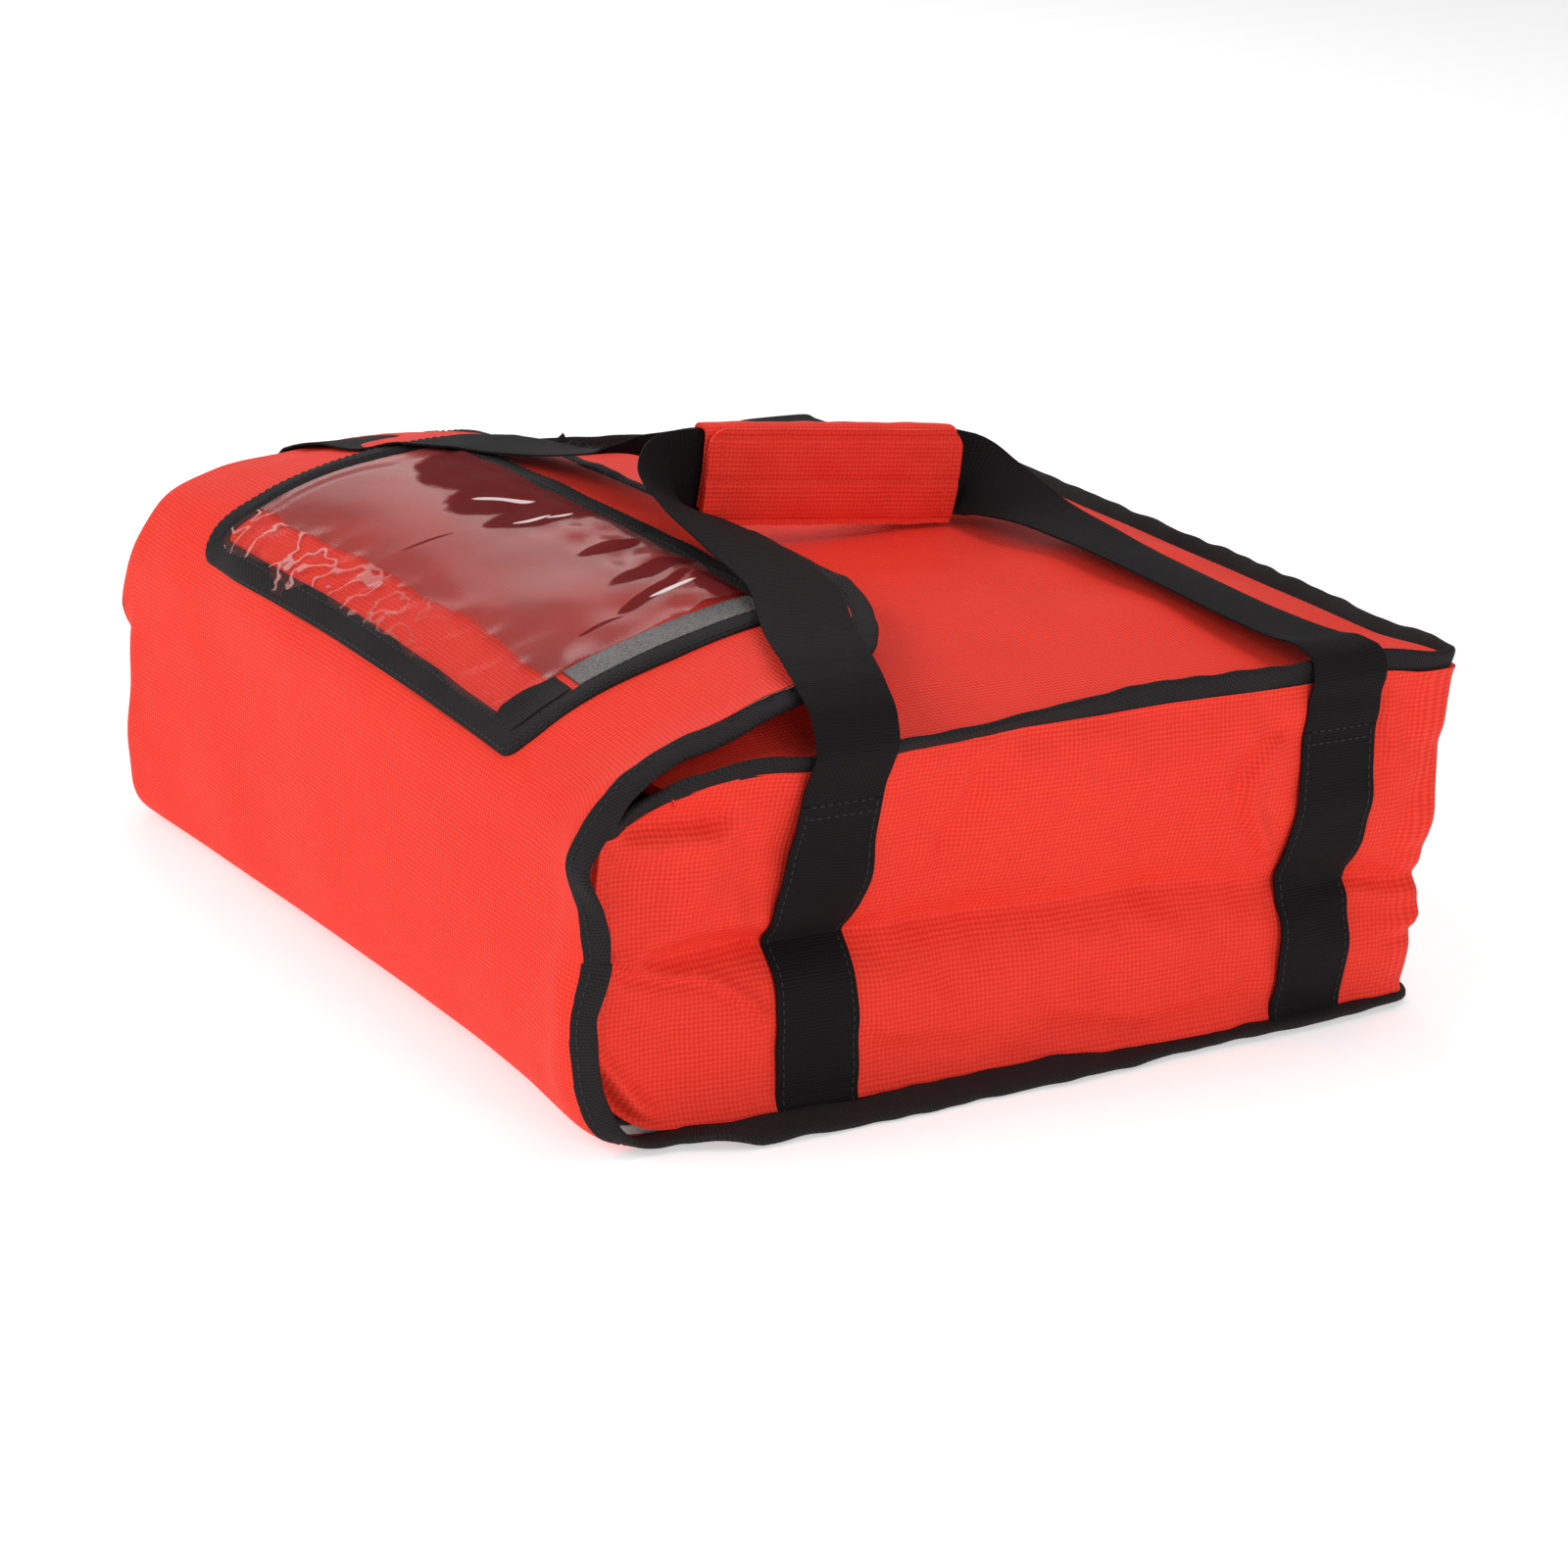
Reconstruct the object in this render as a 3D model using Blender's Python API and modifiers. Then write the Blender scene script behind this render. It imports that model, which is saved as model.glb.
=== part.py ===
"""Insulated pizza delivery bag with a wrap-over front flap, two webbing handles and a clear pocket.

Units are metres and +Z is up. The origin is on the surface that the bag stands on, under the
centre of its bounding box. The mouth is at -Y and the side walls with the handles are at +X and -X.
"""

from math import cos, degrees, pi, radians, sin

import bmesh
import bpy
from mathutils import Matrix, Vector

# Bag body: the box that holds a stack of three 16 inch pizza boxes
BODY_WIDTH = 0.468
BODY_DEPTH = 0.4229
BODY_HEIGHT = 0.173
WALL_CORNER = 0.012
BASE_RADIUS = 0.040
TOP_RADIUS = 0.070

# Layers of every panel, from the outside in
SKIN = 0.0008
FOAM = 0.006
LINING = 0.0004

# How far the filled walls stand out, as (share of the wall's height, sides, back), with the crease
# left by folding the bag flat, and how far the top droops round to the mouth
SWELL = (
    (0.00, 0.0010, 0.0020),
    (0.14, 0.0040, 0.0060),
    (0.30, 0.0025, 0.0070),
    (0.41, -0.0038, 0.0030),
    (0.53, 0.0020, 0.0065),
    (0.71, 0.0085, 0.0088),
    (0.87, 0.0090, 0.0088),
    (1.00, 0.0050, 0.0070),
)
TOP_DROOP = 20
SHOULDER = 50

# How far round the back corners, from the sides, the side boards end and the back board starts
BOARD_TURNS = (45, 66)

# Clearance between neighbouring pieces, and how far a cutter runs past what it cuts
GAP = 0.0003
OVERRUN = 0.05

# Bound seams: the folded tape stands out from the walls as a fin
FIN = 0.0093
FIN_THICKNESS = 0.0042
FIN_ROUNDING = 0.0012
FIN_LIFT = 0.0004

# Front flap: it continues the base up the mouth and over the top panel
FLAP_LENGTH = 0.1835
FLAP_CORNER = 0.095

# Hook-and-loop pairs that hold the flap down
TAPE_LAYER = 0.0010
CLOSURE_LENGTH = 0.120
CLOSURE_WIDTH = 0.025
CLOSURE_SIDE_INSET = 0.054
CLOSURE_INSET = 0.033

# Clear ticket pocket across the top fold of the flap
POCKET_WIDTH = 0.300
POCKET_TURN = 29
POCKET_SETBACK = 0.0364
POCKET_FRAME = 0.0140
POCKET_PROUD = 0.0026
FILM = 0.0003
POCKET_TAPE_WIDTH = 0.018
POCKET_TAPE_LAYER = 0.0004

# Handle webbing
WEBBING_WIDTH = 0.040
WEBBING = 0.0016
NEAR_LEG_INSET = 0.1111
FAR_LEG_INSET = 0.0538
SEWN_DROP = 0.0296
LEG_REST_HEIGHT = 0.0100
LEG_LEAD = 0.029
LEG_LEAD_SPREAD = 0.008
LEG_SHARES = ((0.20, 0.28, 0.12), (0.42, 0.46, 0.40), (0.64, 0.56, 0.74), (0.84, 0.62, 0.96))
LEG_TWIST_SHARES = (0.60, 0.88)
LEG_STATIONS = 48
LEG_STRIPS = 4

# Padded grip that closes round both handles
GRIP_LENGTH = 0.138
GRIP_RISE = 0.0303
GRIP_TILT = radians(6.3)
GRIP_HOLLOW = 0.008
GRIP_WALL = 0.0022
GRIP_ROUNDING = 0.0042
GRIP_LOOP_WIDTH = 0.020
GRIP_TAPE_LAYER = 0.0008
GRIP_FLAP_WALL = 0.0018
GRIP_FLAP_CORNER = 0.008
GRIP_HEM_CLEARANCE = 0.0012

# Facets
ARC_STEPS = 7
CORNER_STEPS = 8

# Sizes that follow from the ones above
PANEL = SKIN + GAP + FOAM + GAP + LINING
HALF_WIDTH = BODY_WIDTH / 2
CLOSURE_STACK = GAP + TAPE_LAYER + GAP + TAPE_LAYER + GAP
FLAP_TOP = BODY_HEIGHT + CLOSURE_STACK + PANEL
FRONT_Y = -(BODY_DEPTH + FIN) / 2
BACK_Y = FRONT_Y + BODY_DEPTH
HEM_Y = FRONT_Y + FLAP_LENGTH
POCKET_BACK_Y = HEM_Y - POCKET_SETBACK
NEAR_LEG_Y = FRONT_Y + NEAR_LEG_INSET
FAR_LEG_Y = BACK_Y - FAR_LEG_INSET
SEWN_TOP = BODY_HEIGHT - SEWN_DROP
GRIP_CENTRE_Z = FLAP_TOP + GRIP_RISE
BASE_CENTRE = (FRONT_Y + BASE_RADIUS, BASE_RADIUS)
TOP_CENTRE = (FRONT_Y + TOP_RADIUS, FLAP_TOP - TOP_RADIUS)
WALL_FRONT = FRONT_Y + PANEL + GAP
WALL_LOW = PANEL + GAP
WALL_HIGH = BODY_HEIGHT - PANEL - GAP
TOP_INNER = BODY_HEIGHT - TOP_CENTRE[1]
BOARD_SPLIT = BACK_Y - WALL_CORNER - FOAM
GRIP_HALF_HEIGHT = WEBBING_WIDTH / 2 + GAP + GRIP_WALL

# The folds are hinged half way round each rounded edge: the lower one on the outer skin, the upper
# one on the pocket's outer face, so that nothing is squeezed as the flap straightens
FOLD = 45
BASE_FOLD = (
    BASE_CENTRE[0] - BASE_RADIUS * cos(radians(FOLD)),
    BASE_CENTRE[1] - BASE_RADIUS * sin(radians(FOLD)),
)
TOP_FOLD = (
    TOP_CENTRE[0] - (TOP_RADIUS + POCKET_PROUD) * cos(radians(FOLD)),
    TOP_CENTRE[1] + (TOP_RADIUS + POCKET_PROUD) * sin(radians(FOLD)),
)

bag = bpy.data.collections.new("pizza_delivery_bag")
cutters = bpy.data.collections.new("cutters")


def clear_scene():
    """Start from an empty scene with the two collections linked."""
    for obj in list(bpy.data.objects):
        bpy.data.objects.remove(obj, do_unlink=True)
    bpy.context.scene.collection.children.link(bag)
    bpy.context.scene.collection.children.link(cutters)


def material(name, colour, roughness, metallic=0.0, alpha=1.0):
    made = bpy.data.materials.new(name)
    made.use_nodes = True
    shader = made.node_tree.nodes["Principled BSDF"]
    shader.inputs["Base Color"].default_value = (*colour, 1.0)
    shader.inputs["Roughness"].default_value = roughness
    shader.inputs["Metallic"].default_value = metallic
    shader.inputs["Alpha"].default_value = alpha
    return made


def finish(obj, made_of, parent=None):
    """Give a piece its material, link it to the bag and hang it on the empty of its joint."""
    obj.data.materials.clear()
    obj.data.materials.append(made_of)
    bag.objects.link(obj)
    if parent:
        obj.parent = parent
    return obj


def joint_empty(name, place, parent=None, rotation=(0, 0, 0)):
    """An empty on a joint's axis."""
    empty = bpy.data.objects.new(name, None)
    empty.location = place
    empty.rotation_euler = rotation
    empty.parent = parent
    bag.objects.link(empty)
    return empty


def hang(obj, empty):
    """Parent a piece that was modelled in world coordinates to an upright empty."""
    obj.parent = empty
    place = Vector(empty.location)
    if empty.parent:
        place += Vector(empty.parent.location)
    obj.matrix_parent_inverse = Matrix.Translation(-place)
    return obj


def arc(centre, radius, start, end, steps=ARC_STEPS):
    """Points on an arc, with the angles in degrees."""
    turn = (end - start) / steps
    angles = [radians(start + turn * n) for n in range(steps + 1)]
    return [(centre[0] + radius * cos(a), centre[1] + radius * sin(a)) for a in angles]


TURNS = {
    "X": Matrix(((0, 0, 1), (1, 0, 0), (0, 1, 0))).to_4x4(),
    "Y": Matrix(((1, 0, 0), (0, 0, -1), (0, 1, 0))).to_4x4(),
    "Z": Matrix.Identity(4),
}
STARTS = {"X": (1, 0, 0), "Y": (0, 1, 0), "Z": (0, 0, 1)}


def prism(name, outline, axis, low, high):
    """A flat outline extruded along an axis: (y, z) points for X, (x, z) for Y and (x, y) for Z."""
    curve = bpy.data.curves.new(name, "CURVE")
    curve.dimensions = "2D"
    curve.fill_mode = "BOTH"
    curve.extrude = (high - low) / 2
    spline = curve.splines.new("POLY")
    spline.points.add(len(outline) - 1)
    for point, (a, b) in zip(spline.points, outline):
        point.co = (a, b, 0, 1)
    spline.use_cyclic_u = True
    drawn = bpy.data.objects.new(name, curve)
    cutters.objects.link(drawn)
    bpy.context.view_layer.update()
    mesh = bpy.data.meshes.new_from_object(drawn.evaluated_get(bpy.context.evaluated_depsgraph_get()))
    bpy.data.objects.remove(drawn, do_unlink=True)
    middle = Vector(STARTS[axis]) * (low + high) / 2
    mesh.transform(Matrix.Translation(middle) @ TURNS[axis])
    shape = bmesh.new()
    shape.from_mesh(mesh)
    bmesh.ops.remove_doubles(shape, verts=shape.verts, dist=GAP / 30)
    bmesh.ops.recalc_face_normals(shape, faces=shape.faces)
    shape.to_mesh(mesh)
    shape.free()
    mesh.name = name
    return bpy.data.objects.new(name, mesh)


def tool(obj):
    """Keep a solid only as a cutter or as a part of another piece."""
    cutters.objects.link(obj)
    obj.hide_render = True
    obj.display_type = "WIRE"
    return obj


def combine(obj, operation, other):
    """Cut, trim or join a piece with another solid."""
    step = obj.modifiers.new(operation.lower(), "BOOLEAN")
    step.operation = operation
    step.solver = "EXACT"
    step.object = tool(other)
    return obj


def round_edges(obj, width, sides=2):
    """Round the sharp edges of a piece."""
    step = obj.modifiers.new("rounding", "BEVEL")
    step.width = width
    step.segments = sides
    step.limit_method = "ANGLE"
    step.angle_limit = radians(50)
    return obj


def panel_line(depth, part, back=BACK_Y - GAP):
    """The (y, z) line of the one long panel at a depth below its outer skin.

    The panel runs along the base, up the mouth and over the top. It is cut at its two folds,
    half way round each rounded edge, with half of the clearance on each side of the cut.
    """
    low_clear = degrees(GAP / 2 / BASE_RADIUS)
    top_clear = degrees(GAP / 2 / TOP_RADIUS)
    if part == "base":
        return [(back, depth)] + arc(
            BASE_CENTRE, BASE_RADIUS - depth, 270, 180 + FOLD + low_clear
        )
    if part == "front":
        low = arc(BASE_CENTRE, BASE_RADIUS - depth, 180 + FOLD - low_clear, 180)
        return low + arc(TOP_CENTRE, TOP_RADIUS - depth, 180, 180 - FOLD + top_clear)
    top = arc(TOP_CENTRE, TOP_RADIUS - depth, 180 - FOLD - top_clear, 90)
    return top + [(HEM_Y - FIN - GAP, FLAP_TOP - depth)]


def panel_layer(outer, inner, part):
    """The closed outline of one layer of the long panel, between two depths."""
    return panel_line(outer, part) + panel_line(inner, part)[::-1]


def rounded_back(half_width, back, radius, front):
    """A plan outline with a straight front and two rounded back corners."""
    right = arc((half_width - radius, back - radius), radius, 0, 90, CORNER_STEPS)
    left = arc((radius - half_width, back - radius), radius, 90, 180, CORNER_STEPS)
    return [(half_width, front)] + right + left + [(-half_width, front)]


def back_band(outer, inner, back_outer, back_inner, radius_outer, radius_inner, front):
    """A plan outline that runs down one side, round the back and up the other side."""
    outside = rounded_back(outer, back_outer, radius_outer, front)
    inside = rounded_back(inner, back_inner, radius_inner, front)
    return outside + inside[::-1]


def swell_at(height):
    """How far the side walls stand out at a height, read between the swell's levels."""
    share = (height - WALL_LOW) / (WALL_HIGH - WALL_LOW)
    share = max(0.0, min(1.0, share))
    for (low, side, _), (high, next_side, _) in zip(SWELL, SWELL[1:]):
        if share <= high:
            return side + (next_side - side) * (share - low) / (high - low)
    return SWELL[-1][1]


def swollen(name, outside, inside):
    """A wall layer between two plan lines, moved out level by level as the filled walls swell."""
    mesh = bmesh.new()
    levels = []
    for share, side, back in SWELL:
        z = WALL_LOW + share * (WALL_HIGH - WALL_LOW)
        rings = []
        for line in (outside, inside):
            ring = []
            for x, y in line:
                out = side if x > 0 else -side
                ring.append(mesh.verts.new((x + out, y + (back if y > BOARD_SPLIT else 0), z)))
            rings.append(ring)
        levels.append(rings)
    count = len(outside)
    for (outer, inner), (next_outer, next_inner) in zip(levels, levels[1:]):
        for n in range(count - 1):
            mesh.faces.new((outer[n], outer[n + 1], next_outer[n + 1], next_outer[n]))
            mesh.faces.new((inner[n], inner[n + 1], next_inner[n + 1], next_inner[n]))
        for n in (0, -1):
            mesh.faces.new((outer[n], inner[n], next_inner[n], next_outer[n]))
    for outer, inner in (levels[0], levels[-1]):
        for n in range(count - 1):
            mesh.faces.new((outer[n], outer[n + 1], inner[n + 1], inner[n]))
    bmesh.ops.recalc_face_normals(mesh, faces=mesh.faces)
    data = bpy.data.meshes.new(name)
    mesh.to_mesh(data)
    mesh.free()
    return bpy.data.objects.new(name, data)


def side_profile(front_inset=0.0):
    """The (y, z) outline of a side wall, inside the front flap and below the drooping top."""
    front = FRONT_Y + PANEL + GAP + front_inset
    low_radius = BASE_CENTRE[0] - front
    low = arc((BASE_CENTRE[0], WALL_LOW + low_radius), low_radius, 270, 180)
    shoulder = arc(TOP_CENTRE, TOP_CENTRE[0] - front, 180, 90 + SHOULDER)
    top = arc(TOP_CENTRE, WALL_HIGH - TOP_CENTRE[1], 90 + TOP_DROOP + 4, 90, 3)
    back = BACK_Y + OVERRUN
    return low + shoulder + top + [(back, WALL_HIGH), (back, WALL_LOW)]


def body_plan(inset):
    """A tall prism with the plan of the body, used to round what lies inside it."""
    plan = rounded_back(
        HALF_WIDTH - inset, BACK_Y - inset, WALL_CORNER - inset, FRONT_Y - OVERRUN
    )
    return prism("body_plan", plan, "Z", -OVERRUN, FLAP_TOP + OVERRUN)


def flap_plan():
    """A tall prism with the plan of the flap inside its bound edge."""
    plan = rounded_back(
        HALF_WIDTH - GAP, HEM_Y - FIN - GAP, FLAP_CORNER - FIN, FRONT_Y - OVERRUN
    )
    return prism("flap_plan", plan, "Z", -OVERRUN, FLAP_TOP + OVERRUN)


def panel_piece(name, outer, inner, part, made_of, empty=None):
    """One layer of the long panel: base, front of the flap or top of the flap."""
    half = HALF_WIDTH - GAP
    piece = prism(name, panel_layer(outer, inner, part), "X", -half, half)
    if part == "base":
        combine(piece, "INTERSECT", body_plan(GAP))
    if part == "top":
        combine(piece, "INTERSECT", flap_plan())
    finish(piece, made_of)
    if empty:
        hang(piece, empty)
    return piece


def long_panel(fabric, foam, foil, front_empty, top_empty):
    """The quilted panel of skin, foam and foil, in its base, front and top lengths."""
    foam_depth = SKIN + GAP
    foil_depth = foam_depth + FOAM + GAP
    for part, prefix, empty in (
        ("base", "base", None),
        ("front", "front", front_empty),
        ("top", "flap", top_empty),
    ):
        panel_piece(prefix + "_outer", 0, SKIN, part, fabric, empty)
        panel_piece(prefix + "_foam", foam_depth, foam_depth + FOAM, part, foam, empty)
        panel_piece(prefix + "_lining", foil_depth, PANEL, part, foil, empty)


def walls(fabric, foam, foil):
    """Right, back and left walls: one strip of fabric, one of foil and three foam boards."""
    foam_in = SKIN + GAP
    foil_in = foam_in + FOAM + GAP
    lip = HALF_WIDTH - foam_in - FOAM
    front = WALL_FRONT + SKIN
    outside = rounded_back(HALF_WIDTH, BACK_Y, WALL_CORNER, WALL_FRONT)
    inside = rounded_back(HALF_WIDTH - SKIN, BACK_Y - SKIN, WALL_CORNER - SKIN, front)
    outside = [(lip, WALL_FRONT)] + outside + [(-lip, WALL_FRONT)]
    inside = [(lip, front)] + inside + [(-lip, front)]
    skin = swollen("wall_outer", outside, inside)
    reach = HALF_WIDTH + OVERRUN
    combine(skin, "INTERSECT", prism("wall_profile", side_profile(), "X", -reach, reach))
    finish(skin, fabric)

    inner_profile = side_profile(foam_in)
    front = WALL_FRONT + foam_in
    lining = swollen(
        "wall_lining",
        rounded_back(HALF_WIDTH - foil_in, BACK_Y - foil_in, WALL_CORNER - foil_in, front),
        rounded_back(HALF_WIDTH - PANEL, BACK_Y - PANEL, WALL_CORNER - PANEL, front),
    )
    combine(lining, "INTERSECT", prism("lining_profile", inner_profile, "X", -reach, reach))
    finish(lining, foil)

    corner = WALL_CORNER - foam_in
    centre = (HALF_WIDTH - WALL_CORNER, BACK_Y - WALL_CORNER)
    turn = arc(centre, corner, 0, BOARD_TURNS[0], CORNER_STEPS)
    for name, sign in (("right", 1), ("left", -1)):
        outside = [(sign * x, y) for x, y in [(HALF_WIDTH - foam_in, front)] + turn]
        board = swollen(name + "_foam", outside, [(sign * lip, y) for _, y in outside])
        combine(board, "INTERSECT", prism(name + "_profile", inner_profile, "X", -reach, reach))
        finish(board, foam)
    outside = arc(centre, corner, BOARD_TURNS[1], 90, 3)
    outside += [(-x, y) for x, y in outside[::-1]]
    inside = [(x, BACK_Y - foam_in - FOAM) for x, _ in outside]
    finish(swollen("back_foam", outside, inside), foam)


def top_line(depth, start):
    """The (y, z) line of the top at a depth below its outer face, from its drooping front edge."""
    line = arc(TOP_CENTRE, TOP_INNER - depth, start, 90, 4)
    return line + [(BACK_Y - GAP, BODY_HEIGHT - depth)]


def top_panel(fabric, foam, foil):
    """The top: its front edge is hemmed at the mouth and its other edges are seamed to the walls."""
    half = HALF_WIDTH - GAP
    edge = 90 + TOP_DROOP
    hem = degrees(SKIN / TOP_INNER)
    clear = degrees(GAP / (TOP_INNER - SKIN - GAP - FOAM))
    foam_in = SKIN + GAP
    turned = arc(TOP_CENTRE, TOP_INNER - foam_in - FOAM, edge, edge - hem, 1)
    hemmed = top_line(0, edge)[::-1] + turned + top_line(SKIN, edge - hem)
    skin = prism("top_outer", hemmed, "X", -half, half)
    combine(skin, "INTERSECT", body_plan(GAP))
    finish(skin, fabric)
    start = edge - hem - clear
    for name, high, low, made_of in (
        ("top_foam", foam_in, foam_in + FOAM, foam),
        ("top_lining", PANEL - LINING, PANEL, foil),
    ):
        section = top_line(high, start) + top_line(low, start)[::-1]
        layer = prism(name, section, "X", -half, half)
        combine(layer, "INTERSECT", body_plan(GAP))
        finish(layer, made_of)


def fin_plan(front):
    """Plan of a seam's fin round the right, back and left edges."""
    return back_band(
        HALF_WIDTH + FIN, HALF_WIDTH, BACK_Y + FIN, BACK_Y, WALL_CORNER + FIN, WALL_CORNER, front
    )


def bindings(tape, front_empty, top_empty):
    """Folded tape round every bound edge: the base seam, the top seam and the flap."""
    low = prism(
        "base_seam_binding", fin_plan(BASE_CENTRE[0]), "Z", FIN_LIFT, FIN_LIFT + FIN_THICKNESS
    )
    for sign in (1, -1):
        tip = (BASE_CENTRE[0] + FIN, BASE_CENTRE[0])
        section = panel_layer(FIN_LIFT, FIN_LIFT + FIN_THICKNESS, "base")
        section[0] = (tip[0], FIN_LIFT)
        section[-1] = (tip[0], FIN_LIFT + FIN_THICKNESS)
        ends = sorted((sign * HALF_WIDTH, sign * (HALF_WIDTH + FIN)))
        combine(low, "UNION", prism("base_fin_end", section, "X", *ends))
    finish(low, tape)

    low_z = BODY_HEIGHT - FIN_THICKNESS
    high = prism("top_seam_binding", fin_plan(TOP_CENTRE[0]), "Z", low_z, BODY_HEIGHT)
    for sign in (1, -1):
        tip = TOP_CENTRE[0] + FIN
        section = arc(TOP_CENTRE, TOP_INNER, 90 + TOP_DROOP, 90, 4)
        section += [(tip, BODY_HEIGHT), (tip, low_z)]
        section += arc(TOP_CENTRE, TOP_INNER - FIN_THICKNESS, 90, 90 + TOP_DROOP, 4)
        ends = sorted((sign * HALF_WIDTH, sign * (HALF_WIDTH + FIN)))
        combine(high, "UNION", prism("top_fin_end", section, "X", *ends))
    finish(high, tape)

    for side, sign in (("right", 1), ("left", -1)):
        ends = sorted((sign * HALF_WIDTH, sign * (HALF_WIDTH + FIN)))
        section = panel_layer(0, FIN_THICKNESS, "front")
        bar = prism("front_binding_" + side, section, "X", *ends)
        round_edges(bar, FIN_ROUNDING)
        finish(bar, tape)
        hang(bar, front_empty)

    plan = back_band(
        HALF_WIDTH + FIN,
        HALF_WIDTH,
        HEM_Y,
        HEM_Y - FIN,
        FLAP_CORNER,
        FLAP_CORNER - FIN,
        TOP_CENTRE[0],
    )
    hem = prism("flap_binding", plan, "Z", FLAP_TOP - FIN_THICKNESS, FLAP_TOP)
    for sign in (1, -1):
        section = panel_layer(0, FIN_THICKNESS, "top")
        section[ARC_STEPS + 1] = (TOP_CENTRE[0] + FIN, FLAP_TOP)
        section[ARC_STEPS + 2] = (TOP_CENTRE[0] + FIN, FLAP_TOP - FIN_THICKNESS)
        ends = sorted((sign * HALF_WIDTH, sign * (HALF_WIDTH + FIN)))
        combine(hem, "UNION", prism("flap_fin_end", section, "X", *ends))
    finish(hem, tape)
    hang(hem, top_empty)


def closures(loop, hook, top_empty):
    """Two loop strips on the top panel and the two hook strips under the flap that meet them."""
    back = HEM_Y - CLOSURE_INSET
    for side, sign in (("right", 1), ("left", -1)):
        far = HALF_WIDTH - CLOSURE_SIDE_INSET
        low, high = sorted((sign * far, sign * (far - CLOSURE_LENGTH)))
        outline = [(low, back - CLOSURE_WIDTH), (high, back - CLOSURE_WIDTH), (high, back), (low, back)]
        base = BODY_HEIGHT + GAP
        finish(prism("top_loop_" + side, outline, "Z", base, base + TAPE_LAYER), loop)
        base += TAPE_LAYER + GAP
        strip = finish(prism("flap_hook_" + side, outline, "Z", base, base + TAPE_LAYER), hook)
        hang(strip, top_empty)


def pocket_line(height, part, back):
    """The (y, z) line of the pocket at a height above the flap's skin."""
    clear = degrees(GAP / 2 / TOP_RADIUS)
    radius = TOP_RADIUS + height
    if part == "front":
        return arc(TOP_CENTRE, radius, 180 - POCKET_TURN, 180 - FOLD + clear)
    return arc(TOP_CENTRE, radius, 180 - FOLD - clear, 90) + [(back, FLAP_TOP + height)]


def pocket_section(low, high, part, back=POCKET_BACK_Y):
    return pocket_line(high, part, back) + pocket_line(low, part, back)[::-1]


def pocket(film, tape, loop, hook, front_empty, top_empty):
    """Clear film in a bound frame, folded over the flap's top edge, closed at its right end."""
    half = POCKET_WIDTH / 2
    inner = half - POCKET_FRAME
    lip = POCKET_TURN + degrees(POCKET_FRAME / TOP_RADIUS)
    film_low = GAP + POCKET_TAPE_LAYER + GAP + POCKET_TAPE_LAYER + GAP

    lower = prism("pocket_binding_lower", pocket_section(GAP, POCKET_PROUD, "front"), "X", -half, half)
    cut = (
        arc(TOP_CENTRE, TOP_RADIUS + POCKET_PROUD + OVERRUN, 180 - lip, FOLD)
        + arc(TOP_CENTRE, TOP_RADIUS - GAP, FOLD, 180 - lip)
    )
    combine(lower, "DIFFERENCE", prism("lower_window", cut, "X", -inner, inner))
    finish(lower, tape)
    hang(lower, front_empty)

    upper = prism("pocket_binding_upper", pocket_section(GAP, POCKET_PROUD, "top"), "X", -half, half)
    window = POCKET_BACK_Y - POCKET_FRAME
    front = FRONT_Y - OVERRUN
    cut = [
        (front, TOP_CENTRE[1]),
        (window, TOP_CENTRE[1]),
        (window, FLAP_TOP + OVERRUN),
        (front, FLAP_TOP + OVERRUN),
    ]
    combine(upper, "DIFFERENCE", prism("upper_window", cut, "X", -inner, inner))
    finish(upper, tape)
    hang(upper, top_empty)

    clear = degrees(GAP / 2 / TOP_RADIUS)
    radius = TOP_RADIUS + film_low
    start = 180 - lip - degrees(GAP / TOP_RADIUS)
    end = 180 - FOLD + clear
    sheet = arc(TOP_CENTRE, radius + FILM, start, end) + arc(TOP_CENTRE, radius, end, start)
    piece = prism("pocket_film_lower", sheet, "X", GAP - inner, inner - GAP)
    finish(piece, film)
    hang(piece, front_empty)
    sheet = pocket_section(film_low, film_low + FILM, "top", window - GAP)
    piece = prism("pocket_film_upper", sheet, "X", GAP - inner, inner - GAP)
    finish(piece, film)
    hang(piece, top_empty)

    low, high = inner - GAP - POCKET_TAPE_WIDTH, inner - GAP
    first, last = TOP_CENTRE[0], window - GAP
    outline = [(low, first), (high, first), (high, last), (low, last)]
    height = FLAP_TOP + GAP
    for name, made_of in (("pocket_loop", loop), ("pocket_hook", hook)):
        strip = prism(name, outline, "Z", height, height + POCKET_TAPE_LAYER)
        finish(strip, made_of)
        hang(strip, top_empty)
        height += POCKET_TAPE_LAYER + GAP


def grip_place():
    """Centre of the grip: its lowest front corner stays just behind the flap's hem."""
    front_reach = GRIP_LENGTH / 2 * cos(GRIP_TILT) + GRIP_HALF_HEIGHT * sin(GRIP_TILT)
    return Vector((0, HEM_Y + GRIP_HEM_CLEARANCE + front_reach, GRIP_CENTRE_Z))


def smooth(share):
    """Ease from 0 to 1."""
    share = max(0.0, min(1.0, share))
    return share * share * (3 - 2 * share)


def leg_curve(points, count):
    """Points read from a smooth curve through the given ones, evenly by segment."""
    guide = [2 * points[0] - points[1]] + points + [2 * points[-1] - points[-2]]
    spans = len(points) - 1
    line = []
    for n in range(count + 1):
        along = spans * n / count
        span = min(int(along), spans - 1)
        t = along - span
        a, b, c, d = guide[span : span + 4]
        line.append(
            (2 * b + (c - a) * t + (2 * a - 5 * b + 4 * c - d) * t * t + (3 * b - a - 3 * c + d) * t**3) / 2
        )
    return line


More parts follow.
